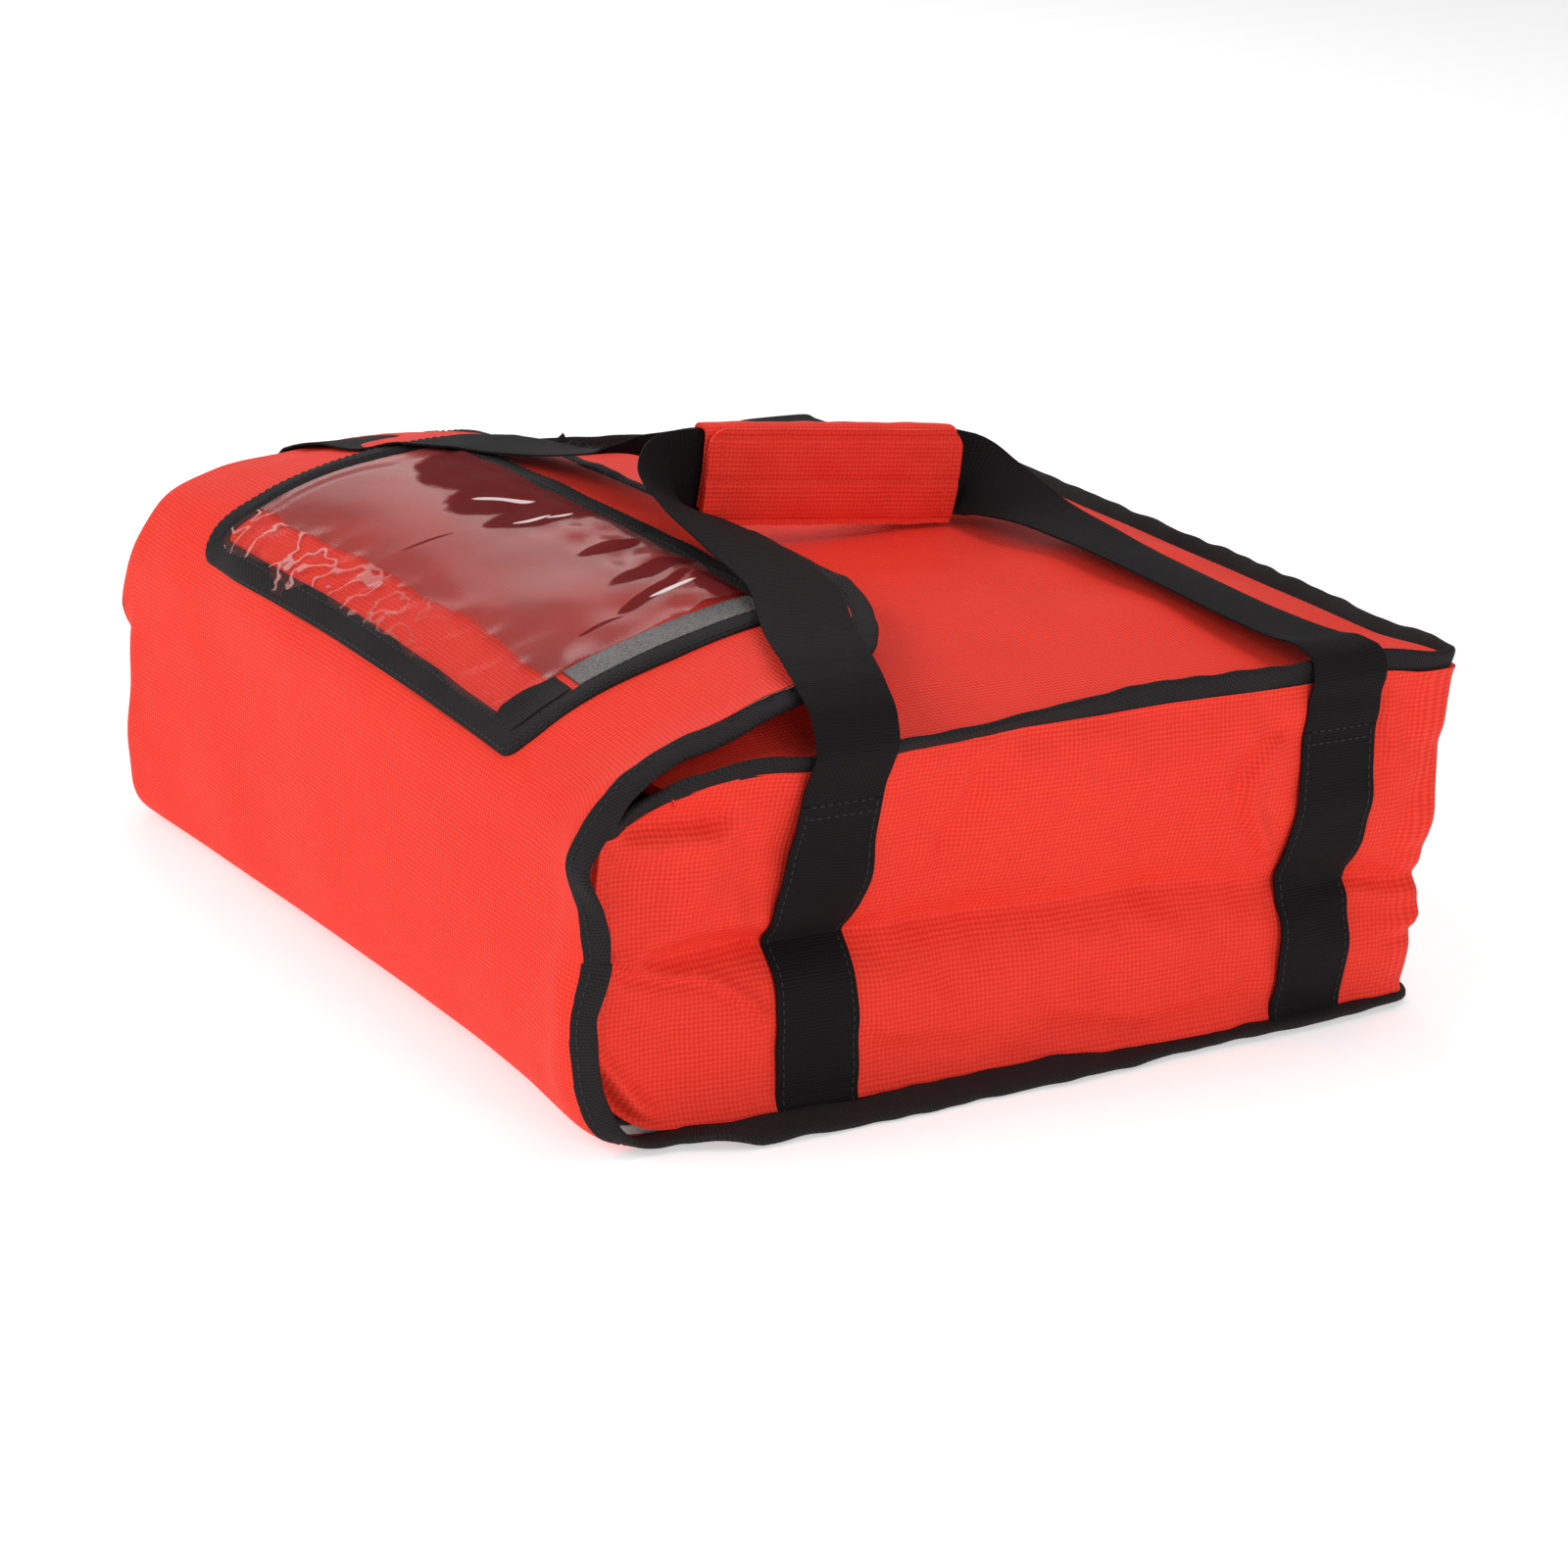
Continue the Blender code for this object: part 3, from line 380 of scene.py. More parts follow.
def long_panel_at(x, along):
    """The long panel's outer face, where x is across the bag and along is the distance up the cloth."""
    x, along = np.broadcast_arrays(np.asarray(x, float), np.asarray(along, float))
    lines = through(MARKS, PROFILES.transpose(1, 0, 2), along.ravel())
    every = np.arange(lines.shape[0])
    n = np.clip(np.searchsorted(STATIONS, x.ravel(), side="right") - 1, 0, len(STATIONS) - 2)
    slopes = np.gradient(lines, STATIONS, axis=1)
    wide = (STATIONS[n + 1] - STATIONS[n])[:, None]
    t = np.clip((x.ravel()[:, None] - STATIONS[n][:, None]) / wide, -0.2, 1.2)
    yz = bent(lines[every, n], lines[every, n + 1], slopes[every, n], slopes[every, n + 1], t, wide)
    y = np.where(along.ravel() < 0, -0.15 - along.ravel(), yz[:, 0])
    z = np.where(along.ravel() < 0, 0.0, yz[:, 1])
    up = ease((along - 0.03) / 0.05).ravel()
    soft = ripple(x.ravel(), along.ravel(), 0.11, 3) * 0.0011 + ripple(x.ravel(), along.ravel(), 0.045, 4) * 0.0003
    edge = ease((np.abs(x.ravel()) - 0.16) / 0.07)
    soft += edge * ripple(x.ravel() * 1.6, along.ravel(), 0.05, 5) * 0.0009
    y, z = y + up * soft * -0.75, z + up * soft * 0.45
    roll = np.where(x.ravel() < 0, LEFT_ROLL, RIGHT_ROLL) * np.clip((np.abs(x.ravel()) - 0.2215) / 0.015, 0, 1.3) ** 2
    over = ease((along.ravel() - 0.13) / 0.05)
    y, z = y + up * roll * np.cos(over * pi / 2), z - up * roll * np.sin(over * pi / 2)
    wide = np.sign(x.ravel()) * base_wave(y) * ease((np.abs(x.ravel()) - 0.2) / 0.036) * ease((0.03 - along.ravel()) / 0.03)
    z = z + 0.0028 * base_lift(y) * ease((np.abs(x.ravel()) - 0.216) / 0.02) * ease((0.03 - along.ravel()) / 0.03) * ease((0.212 - y) / 0.01)
    return np.stack((x + wide.reshape(x.shape), y.reshape(x.shape), z.reshape(x.shape)), -1)


def base_wave(y):
    """How far the base seam stands out at the sides, from the filled walls pressing on it."""
    return through((-0.215, -0.19, -0.16, -0.13, -0.097, -0.06, -0.027, 0.01, 0.05, 0.10, 0.15, 0.195, 0.22),
                   (0, -0.004, 0.0085, 0.0095, 0.0090, 0.0078, 0.0058, 0.0058, 0.0066, 0.0035, 0.0030, -0.0020, -0.0045), y)


def base_lift(y):
    """How far the base seam is tipped up off the floor where its tape is widest."""
    return ease((y + 0.185) / 0.03) * (0.35 + 0.65 * ease((0.07 - y) / 0.06))


def on_panel(x, along, height=0.0):
    """A point at a height above the long panel's outer face."""
    step = 0.0015
    sideways = long_panel_at(x + step, along) - long_panel_at(x - step, along)
    forwards = long_panel_at(x, along + step) - long_panel_at(x, along - step)
    normal = np.cross(sideways, forwards)
    normal /= np.linalg.norm(normal, axis=-1, keepdims=True)
    return long_panel_at(x, along) + normal * np.asarray(height)[..., None], normal


def strip_on_panel(name, x, along, high, low, made_of, nodes, slot, order=slice(None)):
    """A flat strip between two heights above the long panel's outer face, on the flap."""
    high, low = (on_panel(x, along, height + 0 * x)[0] for height in (high, low))
    return piece(name, high[order], low[order], np.stack((x, along), -1)[order], made_of, FLAP_RIDES, nodes, slot)


def flap_half_width(along, side=0):
    """Half of the cloth's width: it narrows round the flap's two corners, and more so up the right side."""
    t = np.clip((along - (CLOTH_HEM - FLAP_CORNER_ALONG)) / FLAP_CORNER_ALONG, 0, 1)
    return CLOTH_EDGE - FLAP_CORNER_ACROSS * (1 - np.sqrt(1 - t * t)) - 0.0135 * ease((along - 0.195) / 0.055) * (np.asarray(side) > 0)


def panel_depth(x, along, deep):
    """A layer's depth, which thins out to the bound edges."""
    from_edge = flap_half_width(along, x) - np.abs(x)
    from_hem = CLOTH_HEM - along
    return deep * (0.3 + 0.7 * ease(np.minimum(from_edge, from_hem) / 0.022))


LOWER_ROWS = np.concatenate((np.arange(CLOTH_BACK, 0, 0.006), np.linspace(0, SPLIT, 46)))
CORNER_ROWS = CLOTH_HEM - FLAP_CORNER_ALONG + FLAP_CORNER_ALONG * np.sin(np.linspace(0, pi / 2, 30))
UPPER_ROWS = np.concatenate((np.linspace(SPLIT, CORNER_ROWS[0], 48)[:-1], CORNER_ROWS))
COLUMNS = np.linspace(-1, 1, 131)


def long_panel_layers(lengths, names, rides, stands_for):
    """Fabric, foam and foil of one length of the long panel. Foam and foil stop short of the bound edges."""
    depths = ((0, SKIN, RED, "coated_polyester"), (SKIN + GAP, SKIN + GAP + FOAM, FOAM_FINISH, "insulating_foam"),
              (PANEL - LINING, PANEL, FOIL_FINISH, "foil_lining"))
    for n, (name, nodes, (top, low, made_of, slot)) in enumerate(zip(names, stands_for, depths)):
        short = BOARD_INSET if n else 0
        rows = np.clip(lengths, CLOTH_BACK + short, CLOTH_HEM - short)
        rows = np.unique(rows)
        along = np.repeat(rows[:, None], len(COLUMNS), 1)
        x = COLUMNS[None, :] * (flap_half_width(along, COLUMNS[None, :]) - short)
        cloth = np.stack((x, along), -1)
        base, normal = on_panel(x, along)
        outer = base - normal * panel_depth(x, along, top)[..., None]
        inner = base - normal * np.maximum(panel_depth(x, along, low), panel_depth(x, along, top) + LINING)[..., None]
        across_piece(name, outer, inner, cloth, made_of, rides, nodes, slot)
    wide, long = 2 * CLOTH_EDGE, lengths[-1] - lengths[0]
    wide, long = wide - 2 * BOARD_INSET, long - BOARD_INSET


long_panel_layers(LOWER_ROWS, ("base_and_front_cloth", "base_and_front_foam", "base_and_front_foil"),
                  FRONT_RIDES,
                  (("base_outer", "front_outer"), ("base_foam", "front_foam"), ("base_lining", "front_lining")))
long_panel_layers(UPPER_ROWS, ("flap_cloth", "flap_inner_foam", "flap_foil"), FLAP_RIDES,
                  (("flap_outer",), ("flap_foam",), ("flap_lining",)))

# Walls: one strip of the same red cloth round the right, back and left sides, hemmed inwards at the
# mouth, over foam boards and foil. The cloth runs into the two bound seams, and it is creased where
# the bag has been folded flat.
HALF_WIDTH, BACK_Y, CORNER = 0.234, 0.2090, 0.012
SIDE_Y = np.array((-0.205, -0.18, -0.15, -0.105, -0.06, 0, 0.06, 0.10, 0.153, 0.19, 0.209))
SIDE_Z = np.array((0.005, 0.03, 0.055, 0.072, 0.095, 0.12, 0.14, 0.16, 0.172))
SIDE_BULGE = np.array((
    (-2, 0, 5, 5, 4, 4, 6, 7, 3, 2, 3),
    (-4, -2, 2, 4, 4, 4, 5, 6, 8, 8, 8),
    (-5, -4, 0, 4, 4, 4, 5, 6, 7, 8, 9),
    (-3, -2, 0, 1, 1, 2, 3, 4, 5, 8, 10),
    (-1, 0, 0, 0, 1, 3, 5, 8, 11, 11, 11),
    (-3, -2, 0, 3, 6, 8, 10, 12, 15, 14, 14),
    (-5, -3, 3, 10, 11, 12, 13, 14, 13, 13, 14.5),
    (-4, -1, 5, 12, 12, 11, 11, 12, 13, 12, 12),
    (0, 2, 4, 6, 6, 6, 6, 7, 8, 9, 10),
)).T / 1000
CREASE_Y = np.array((-0.21, -0.18, -0.15, -0.105, -0.06, 0, 0.06, 0.10, 0.153, 0.19, 0.209))
CREASE_DEEP = np.array((0, 4, 10, 17, 13, 11, 9, 7, 6, 5, 1)) / 1000
CREASE_Z = np.array((0.077, 0.078, 0.0775, 0.0758, 0.0762, 0.0750, 0.0752, 0.0745, 0.0670, 0.0620, 0.0600))
SEAM_Y = np.array((-0.2125, -0.1989, -0.189, -0.182, -0.1656, -0.1517, -0.1415, -0.1222, -0.0761, -0.052, -0.025, 0.032, 0.087, 0.140, 0.176, 0.2117))
SEAM_ROOT = np.array((0.1360, 0.1390, 0.1455, 0.1500, 0.1552, 0.1580, 0.1590, 0.1588, 0.1622, 0.1630, 0.1640, 0.1650, 0.1656, 0.1660, 0.1680, 0.1705))
SEAM_TIP = np.array((0.1445, 0.1480, 0.1545, 0.1590, 0.1637, 0.1665, 0.1676, 0.1670, 0.1697, 0.1700, 0.1716, 0.1765, 0.1780, 0.1810, 0.1830, 0.1795))
WALL_CLOTH_LOW = 0.0062


def slack(x, y):
    """Nothing inside holds up the rear left corner: how far the top and its seam sink there."""
    deep = through((-0.06, 0, 0.05, 0.10, 0.153, 0.19, 0.215), (0, 0.004, 0.0095, 0.0115, 0.0140, 0.0130, 0.0100), y)
    rear = ease((y - 0.10) / 0.10)
    return deep * ease((0.06 - 0.21 * rear - x) / (0.28 - 0.19 * rear))


def seam_height(side, y, line=SEAM_ROOT):
    """Height of the top seam: at the wall for the root, and at the tape's outer edge for the tip."""
    height = through(SEAM_Y, line, y)
    return height if side > 0 else height + ripple(y, 0 * y, 0.13, 21) * 0.0012 - slack(-HALF_WIDTH, y)


SIDE_FOLDS = (
    (((-0.1998, 0.0839), (-0.1908, 0.0774), (-0.1772, 0.0722), (-0.1592, 0.0694), (-0.1500, 0.0648), (-0.1359, 0.0552),
      (-0.131, 0.0482)), 0.0024, 0.0026),
    (((-0.1313, 0.0772), (-0.1541, 0.0803), (-0.172, 0.0789), (-0.1808, 0.0778)), -0.0030, 0.0065),
    (((-0.1733, 0.1233), (-0.165, 0.110)), 0.0030, 0.0160),
    (((-0.1961, 0.1400), (-0.1763, 0.1409), (-0.1564, 0.1401)), -0.0034, 0.0060),
    (((-0.2193, 0.0506), (-0.2091, 0.0417), (-0.1998, 0.0298), (-0.1904, 0.0178), (-0.1811, 0.0088)), 0.0055, 0.0050),
    (((-0.0329, 0.148), (-0.0447, 0.1163)), -0.0022, 0.0060),
    (((0.1184, 0.1394), (0.1072, 0.1242), (0.1087, 0.1097), (0.1235, 0.0883)), 0.0026, 0.0042),
    (((0.1727, 0.0681), (0.2132, 0.0622)), -0.0034, 0.0050),
    (((0.2007, 0.0416), (0.2144, 0.0521)), 0.0034, 0.0042),
    (((0.2122, 0.1215), (0.2018, 0.0837)), 0.0030, 0.0055),
    (((0.182, 0.150), (0.186, 0.128)), 0.0018, 0.0045),
    (((0.02, 0.030), (0.06, 0.020), (0.11, 0.027)), 0.0018, 0.0060),
    (((-0.07, 0.035), (-0.03, 0.028)), 0.0016, 0.0060),
)


def fold_relief(y, z, points, deep, wide):
    """A crease along a bent line, with the hollow that goes with it on its lower side."""
    nearest, off = np.full(np.shape(y), 9.0), np.zeros(np.shape(y))
    for (y0, z0), (y1, z1) in zip(points, points[1:]):
        way = np.array((y1 - y0, z1 - z0))
        long = np.hypot(*way)
        t = np.clip(((y - y0) * way[0] + (z - z0) * way[1]) / long**2, 0, 1)
        far = np.hypot(y - y0 - t * way[0], z - z0 - t * way[1])
        side = ((y - y0) * way[1] - (z - z0) * way[0]) / long
        off = np.where(far < nearest, side, off)
        nearest = np.minimum(nearest, far)
    hollow = 0.5 + 0.5 * np.tanh(off / wide * 2)
    return deep * (np.exp(-(nearest / wide) ** 2) - 0.75 * hollow * np.exp(-((nearest - 1.5 * wide) / wide) ** 2))


def side_bulge(side, y, z, folded=True):
    """How far a side wall stands out of its flat place."""
    y, z = np.broadcast_arrays(np.asarray(y, float), np.asarray(z, float))
    line = through(CREASE_Y, CREASE_Z, y) if side > 0 else 0.0745 + 0.02 * np.clip(y, -0.21, 0.21)
    z_read = z if side > 0 else z * 0.97 + 0.004
    out = over_table(SIDE_Y, SIDE_Z, SIDE_BULGE, y, z_read)
    deep = through(CREASE_Y, CREASE_DEEP, y)
    out = out - deep * np.exp(-np.sqrt((z - line) ** 2 + 0.0012**2) / 0.0140) * 1.1
    seed = 31 if side > 0 else 41
    hold = ease(z / 0.02) * ease((0.172 - z) / 0.02)
    out = out + hold * (ripple(y, z, 0.075, seed) * 0.0014 + ripple(y + z, z - y, 0.03, seed + 1) * 0.0005)
    for points, deep, wide in SIDE_FOLDS if folded else ():
        if side < 0:
            points = [(0.02 - b, c) for b, c in points]
        out = out + fold_relief(y, z, points, deep, wide) * ease((z - 0.006) / 0.012)
    if side < 0:
        out = out - slack(-HALF_WIDTH, y) * 1.3 * np.clip(z / 0.17, 0, 1) ** 2
    return out


def rear_root(x):
    """Height of the top seam along the back: the rear right corner stands up, the rest sinks."""
    return 0.1575 + 0.004 * x + 0.0045 * ease((x - 0.19) / 0.045) - slack(x, 0.21)


def back_bulge(x, z):
    """How far the back wall stands out of its flat place."""
    out = 0.0078 + 0.0042 * np.clip(z / 0.17, 0, 1.1) ** 0.8 + 0.0010 * np.cos(x * 9)
    out = out - 0.004 * np.exp(-np.abs(z - 0.074 - 0.01 * x) / 0.014) * (0.6 + 0.4 * np.cos(x * 14))
    out = out + ripple(x, z, 0.08, 51) * 0.0012 + ripple(x, z, 0.032, 52) * 0.0004
    return out * ease((z + 0.012) / 0.03)


def wall_path(inset, count=98):
    """The strip's way round the bag at an inset: plan points with their normals and the length along the
    cloth. Its left end stands further back, behind the flap's curled edge."""
    corner = CORNER - inset * 0.9
    x, y = HALF_WIDTH - inset, BACK_Y - inset
    parts = []
    front = np.concatenate((-0.2105 + 0.012 * (1 - np.cos(np.linspace(0, pi / 2, 9))), np.linspace(-0.1955, y - corner, count)[:-1]))
    turn = np.linspace(0, pi / 2, 9)[1:-1]
    parts.append((np.full_like(front, x), front, np.ones_like(front), np.zeros_like(front), front))
    parts.append((x - corner + corner * np.cos(turn), y - corner + corner * np.sin(turn), np.cos(turn), np.sin(turn),
                  y - corner + turn * corner))
    rear = np.linspace(x - corner, corner - x, 104)
    start = y - corner + corner * pi / 2
    parts.append((rear, np.full_like(rear, y), np.zeros_like(rear), np.ones_like(rear), start + (x - corner) - rear))
    mirrored = [(-a[::-1], np.where(b < -0.17, -0.17 + (b + 0.17) * 0.80, b)[::-1], -c[::-1], d[::-1], 2 * start + 2 * (x - corner) - e[::-1])
                for a, b, c, d, e in parts[1::-1]]
    return [np.concatenate(column) for column in zip(*(parts + mirrored))]


def seam_root(px, py):
    """Height of the top seam at the wall, all round."""
    side = np.where(px > 0, seam_height(1, py), seam_height(-1, py))
    rear = ease((py - 0.16) / 0.05)
    return side * (1 - rear) + rear_root(px) * rear


def wall_place(px, py, nx, ny, z, folded=True):
    """The wall's outer face at a height, from a point of the strip's way round and its normal."""
    bulge = np.where(px > 0, side_bulge(1, py + 0 * z, z, folded), -0.85 * side_bulge(-1, py + 0 * z, z, folded))
    return px + bulge * ease(np.abs(nx) * 1.5), py + back_bulge(px + 0 * z, z) * ease(ny * 1.5)


def wall_grid(inset, rows, count=98):
    """The strip's points at an inset: rows from the base seam to the top seam, columns round the bag."""
    px, py, nx, ny, length = wall_path(inset, count)
    low_radius = 0.0339 - inset
    down = np.clip(-0.1761 - py, 0, low_radius)
    low = WALL_CLOTH_LOW + inset * 0.6 + (low_radius - np.sqrt(low_radius**2 - down**2))
    root = seam_root(px, py) - inset * 0.6
    z = low + (root - low) * rows[:, None]
    x, y = wall_place(px, py, nx, ny, z, inset < 0.001)
    flare = 0.0032 * (np.exp(-(z - low) / 0.004) + np.exp(-(root - z) / 0.005)) * (1 if inset == 0 else 0)
    x, y = x + nx * flare, y + ny * flare
    return np.stack((x, y, z + 0 * px), -1), np.stack((length + 0 * z, z), -1)


BOARDS_BEHIND = 0.005  # how far the boards stand back from the creased cloth


def walls():
    fine = np.concatenate((np.linspace(0, 0.06, 7)[:-1], np.linspace(0.06, 0.94, 80), np.linspace(0.94, 1, 7)[1:]))
    for name, low, high, made_of, slot, nodes in (
        ("wall_cloth", 0, SKIN, RED, "coated_polyester", ("wall_outer",)),
        ("wall_boards", SKIN + GAP + BOARDS_BEHIND, SKIN + GAP + BOARDS_BEHIND + FOAM, FOAM_FINISH, "insulating_foam",
         ("right_foam", "back_foam", "left_foam")),
        ("wall_foil", PANEL - LINING + BOARDS_BEHIND, PANEL + BOARDS_BEHIND, FOIL_FINISH, "foil_lining", ("wall_lining",)),
    ):
        if name == "wall_cloth":  # its two ends turn in at the mouth
            outer, cloth = wall_grid(low, fine, 200)
            inner, _ = wall_grid(high, fine, 200)
            outer, inner, cloth = hemmed(outer, inner, cloth)
        else:  # these stop short of the seams and of the mouth
            outer, cloth = wall_grid(low, np.linspace(0.06, 0.94, 44))
            inner, _ = wall_grid(high, np.linspace(0.06, 0.94, 44))
            outer, inner, cloth = outer[:, 8:-8], inner[:, 8:-8], cloth[:, 8:-8]
        layer = across_piece(name, outer, inner, cloth, made_of, "body", nodes, slot)
        if name == "wall_boards":
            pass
        elif name == "wall_cloth":
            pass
        else:
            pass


HEM_BACK, HEM_INWARDS = 0.013, 0.0138  # how far a hem runs back along the foil, and how far in it lies


def hemmed(outer, inner, cloth):
    """Turns the strip's two ends in over the edge of the foam and back along the foil."""
    def turned(grid, inwards, front, back):
        right, left = grid[:, :1] - (inwards, 0, 0), grid[:, -1:] + (inwards, 0, 0)
        return np.concatenate((right + (0, back, 0), right + (0, front, 0), grid, left + (0, front, 0), left + (0, back, 0)), 1)
    turn, end = 0.0086, 0.0216
    length = np.concatenate((cloth[:, :1] - (end, 0), cloth[:, :1] - (turn, 0), cloth,
                             cloth[:, -1:] + (turn, 0), cloth[:, -1:] + (end, 0)), 1)
    return turned(outer, HEM_INWARDS, 0.0002, HEM_BACK), turned(inner, HEM_INWARDS - 0.0015, 0.0012, HEM_BACK), length


walls()

# Top panel: a piece of the same red cloth over foam and foil. Its front edge is hemmed and free at the
# mouth. Its other three edges are bound to the walls, and it is crowned between them.
TOP_Y = np.array((-0.19, -0.175, -0.16, -0.14, -0.12, -0.09, -0.05, 0, 0.05, 0.10, 0.15, 0.19, 0.2119))
TOP_CROWN = np.array((0.1535, 0.162, 0.168, 0.1735, 0.1775, 0.1805, 0.181, 0.1806, 0.180, 0.1795, 0.179, 0.1765, 0.1745))
MOUTH_EDGE, TOP_BACK = -0.181, 0.2119


def flap_height(x, y):
    """Height of the flap's outer face above a point of the plan."""
    marks = np.linspace(0.205, CLOTH_HEM, 60)
    heights = []
    for station in STATIONS:
        line = long_panel_at(np.full_like(marks, station), marks)
        heights.append(np.interp(y.ravel(), line[:, 1], line[:, 2], left=line[0, 2], right=0.30))
    heights = np.array(heights).T
    n = np.clip(np.searchsorted(STATIONS, x.ravel(), side="right") - 1, 0, len(STATIONS) - 2)
    t = np.clip((x.ravel() - STATIONS[n]) / (STATIONS[n + 1] - STATIONS[n]), 0, 1)
    every = np.arange(len(n))
    return (heights[every, n] * (1 - t) + heights[every, n + 1] * t).reshape(x.shape)


def top_height(x, y):
    """Height of the top panel's outer face."""
    share = np.clip(np.abs(x) / CLOTH_EDGE, 0, 1)
    root = np.where(x > 0, seam_height(1, y), seam_height(-1, y)) + 0.0022
    rear = ease((y - 0.15) / 0.062)
    edge = root * (1 - rear) + (rear_root(x) + 0.0060) * rear
    crown = through(TOP_Y, TOP_CROWN, y) - slack(x, y)
    crown = crown + (rear_root(x) + 0.0060 - crown) * ease((y - 0.165) / 0.047) ** 1.5
    height = crown + (edge - crown) * share**3.0
    dents = ripple(x, y, 0.10, 61) * 0.0011 + ripple(x, y, 0.04, 62) * 0.0004
    height = height + dents * (1 - share**4) * ease((0.21 - y) / 0.03)
    limit = flap_height(x, y) - 0.0118
    gap = np.clip(0.5 + (limit - height) / 0.006, 0, 1)
    return height * gap + limit * (1 - gap) - 0.0015 * gap * (1 - gap)


def top_panel():
    lip = 0.004
    y = np.concatenate((MOUTH_EDGE + lip * (1 - np.cos(np.linspace(0, pi / 2, 4)))[:-1],
                        np.arange(MOUTH_EDGE + lip, 0.200, 0.0042), np.linspace(0.201, TOP_BACK, 8)))
    x = np.linspace(-1, 1, 121)
    rows = np.repeat(y[:, None], len(x), 1)
    past = np.clip(rows - (TOP_BACK - CORNER), 0, CORNER)
    half = CLOTH_EDGE - (CORNER - np.sqrt(CORNER**2 - past**2 * 0.98))
    across = x[None, :] * half
    height = top_height(across, rows)
    reach = ease((rows - 0.165) / 0.047)
    height = height - 0.0042 * ease((rows - 0.2035) / 0.0075)
    spread = 0.0045 * ease((np.abs(across) - 0.195) / 0.04) * ease((rows + 0.165) / 0.03)
    grid = np.stack((across + np.sign(across) * spread, rows + 0.0098 * reach, height), -1)
    normal = facing(grid.transpose(1, 0, 2)).transpose(1, 0, 2)
    cloth = np.stack((across, rows), -1)
    thin = 0.3 + 0.7 * ease(np.minimum(half - np.abs(across), TOP_BACK - rows) / 0.022)
    for name, low, high, made_of, slot, node in (
        ("top_cloth", 0, SKIN, RED, "coated_polyester", "top_outer"),
        ("top_inner_foam", SKIN + GAP, SKIN + GAP + FOAM, FOAM_FINISH, "insulating_foam", "top_foam"),
        ("top_foil", PANEL - LINING, PANEL, FOIL_FINISH, "foil_lining", "top_lining"),
    ):
        outer = grid - normal * (low * thin)[..., None]
        inner = grid - normal * (np.maximum(high * thin, low * thin + LINING))[..., None]
        edge_in = cloth
        if name != "top_cloth":
            kept = slice(2, len(y) - 9)
            columns = (np.abs(x) <= 1 - BOARD_INSET / CLOTH_EDGE)
            outer, inner, edge_in = (q[kept][:, columns] for q in (outer, inner, cloth))
        else:
            fold = grid[:1] - normal[:1] * 0.0068
            outer = np.concatenate((fold, outer))
            inner = np.concatenate((fold + (0, SKIN, 0), inner[:1] + (0, SKIN, 0), inner[1:]))
            edge_in = np.concatenate((cloth[:1] - (0, 0.007), cloth))
        layer = across_piece(name, outer, inner, edge_in, made_of, "body", (node,), slot)
        if name == "top_inner_foam":
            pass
        elif name == "top_cloth":
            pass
        else:
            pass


top_panel()

# Binding: ribbed black tape folded over each raw edge and sewn through with black thread. One length goes
# round the base seam and up the lower front edges, one goes round the flap, and one round the top seam.
# The wall strip's hems at the mouth are sewn here too, in red thread.
TAPE_WIDE, TAPE_THICK = 0.0103, 0.0040


def ribbed(name, dark, light, pitch, across_too, **fixed):
    """Black woven tape: fine ribs across it, thread by thread."""
    made, start, plug = finish_of(name, **fixed)
    place = start.node("ShaderNodeUVMap", {"uv_map": "cloth"})
    room = start.node("ShaderNodeTexCoord", out=3)
    fuzz = room.spots(700, 2)
    ribs = (place.part(1) * (tau / pitch) + fuzz).sine() * 0.5 + 0.5
    threads = (place.part(0) * (tau / across_too) + place.part(1) * (pi / pitch)).sine() * 0.5 + 0.5
    worn = room.spots(45, 4)
    raised = ribs * 0.6 + threads * 0.4
    plug(Base_Color=(raised * 0.55 + worn * 0.3 + fuzz * 0.25).between(dark, light),
         Roughness=0.82 - raised * 0.14, Height=(raised + fuzz * 0.3, 0.6, 0.00035))
    return made


def thread(name, low, high):
    """Sewing thread: two strands twisted together."""
    made, start, plug = finish_of(name, Specular_IOR_Level=0.25)
    place = start.node("ShaderNodeUVMap", {"uv_map": "cloth"})
    twist = (place.part(1) * 9000 + place.part(0) * 6000).sine() * 0.5 + 0.5
    worn = start.node("ShaderNodeTexCoord", out=3).spots(200, 2)
    plug(Base_Color=(twist * 0.7 + worn * 0.3).between(low, high), Roughness=0.7 - twist * 0.1, Height=(twist, 0.5, 0.0001))
    return made


RED_THREAD = thread("red_thread", (0.60, 0.020, 0.012), (0.95, 0.10, 0.06))
BLACK_THREAD = thread("black_thread", (0.006, 0.0055, 0.006), (0.055, 0.05, 0.052))


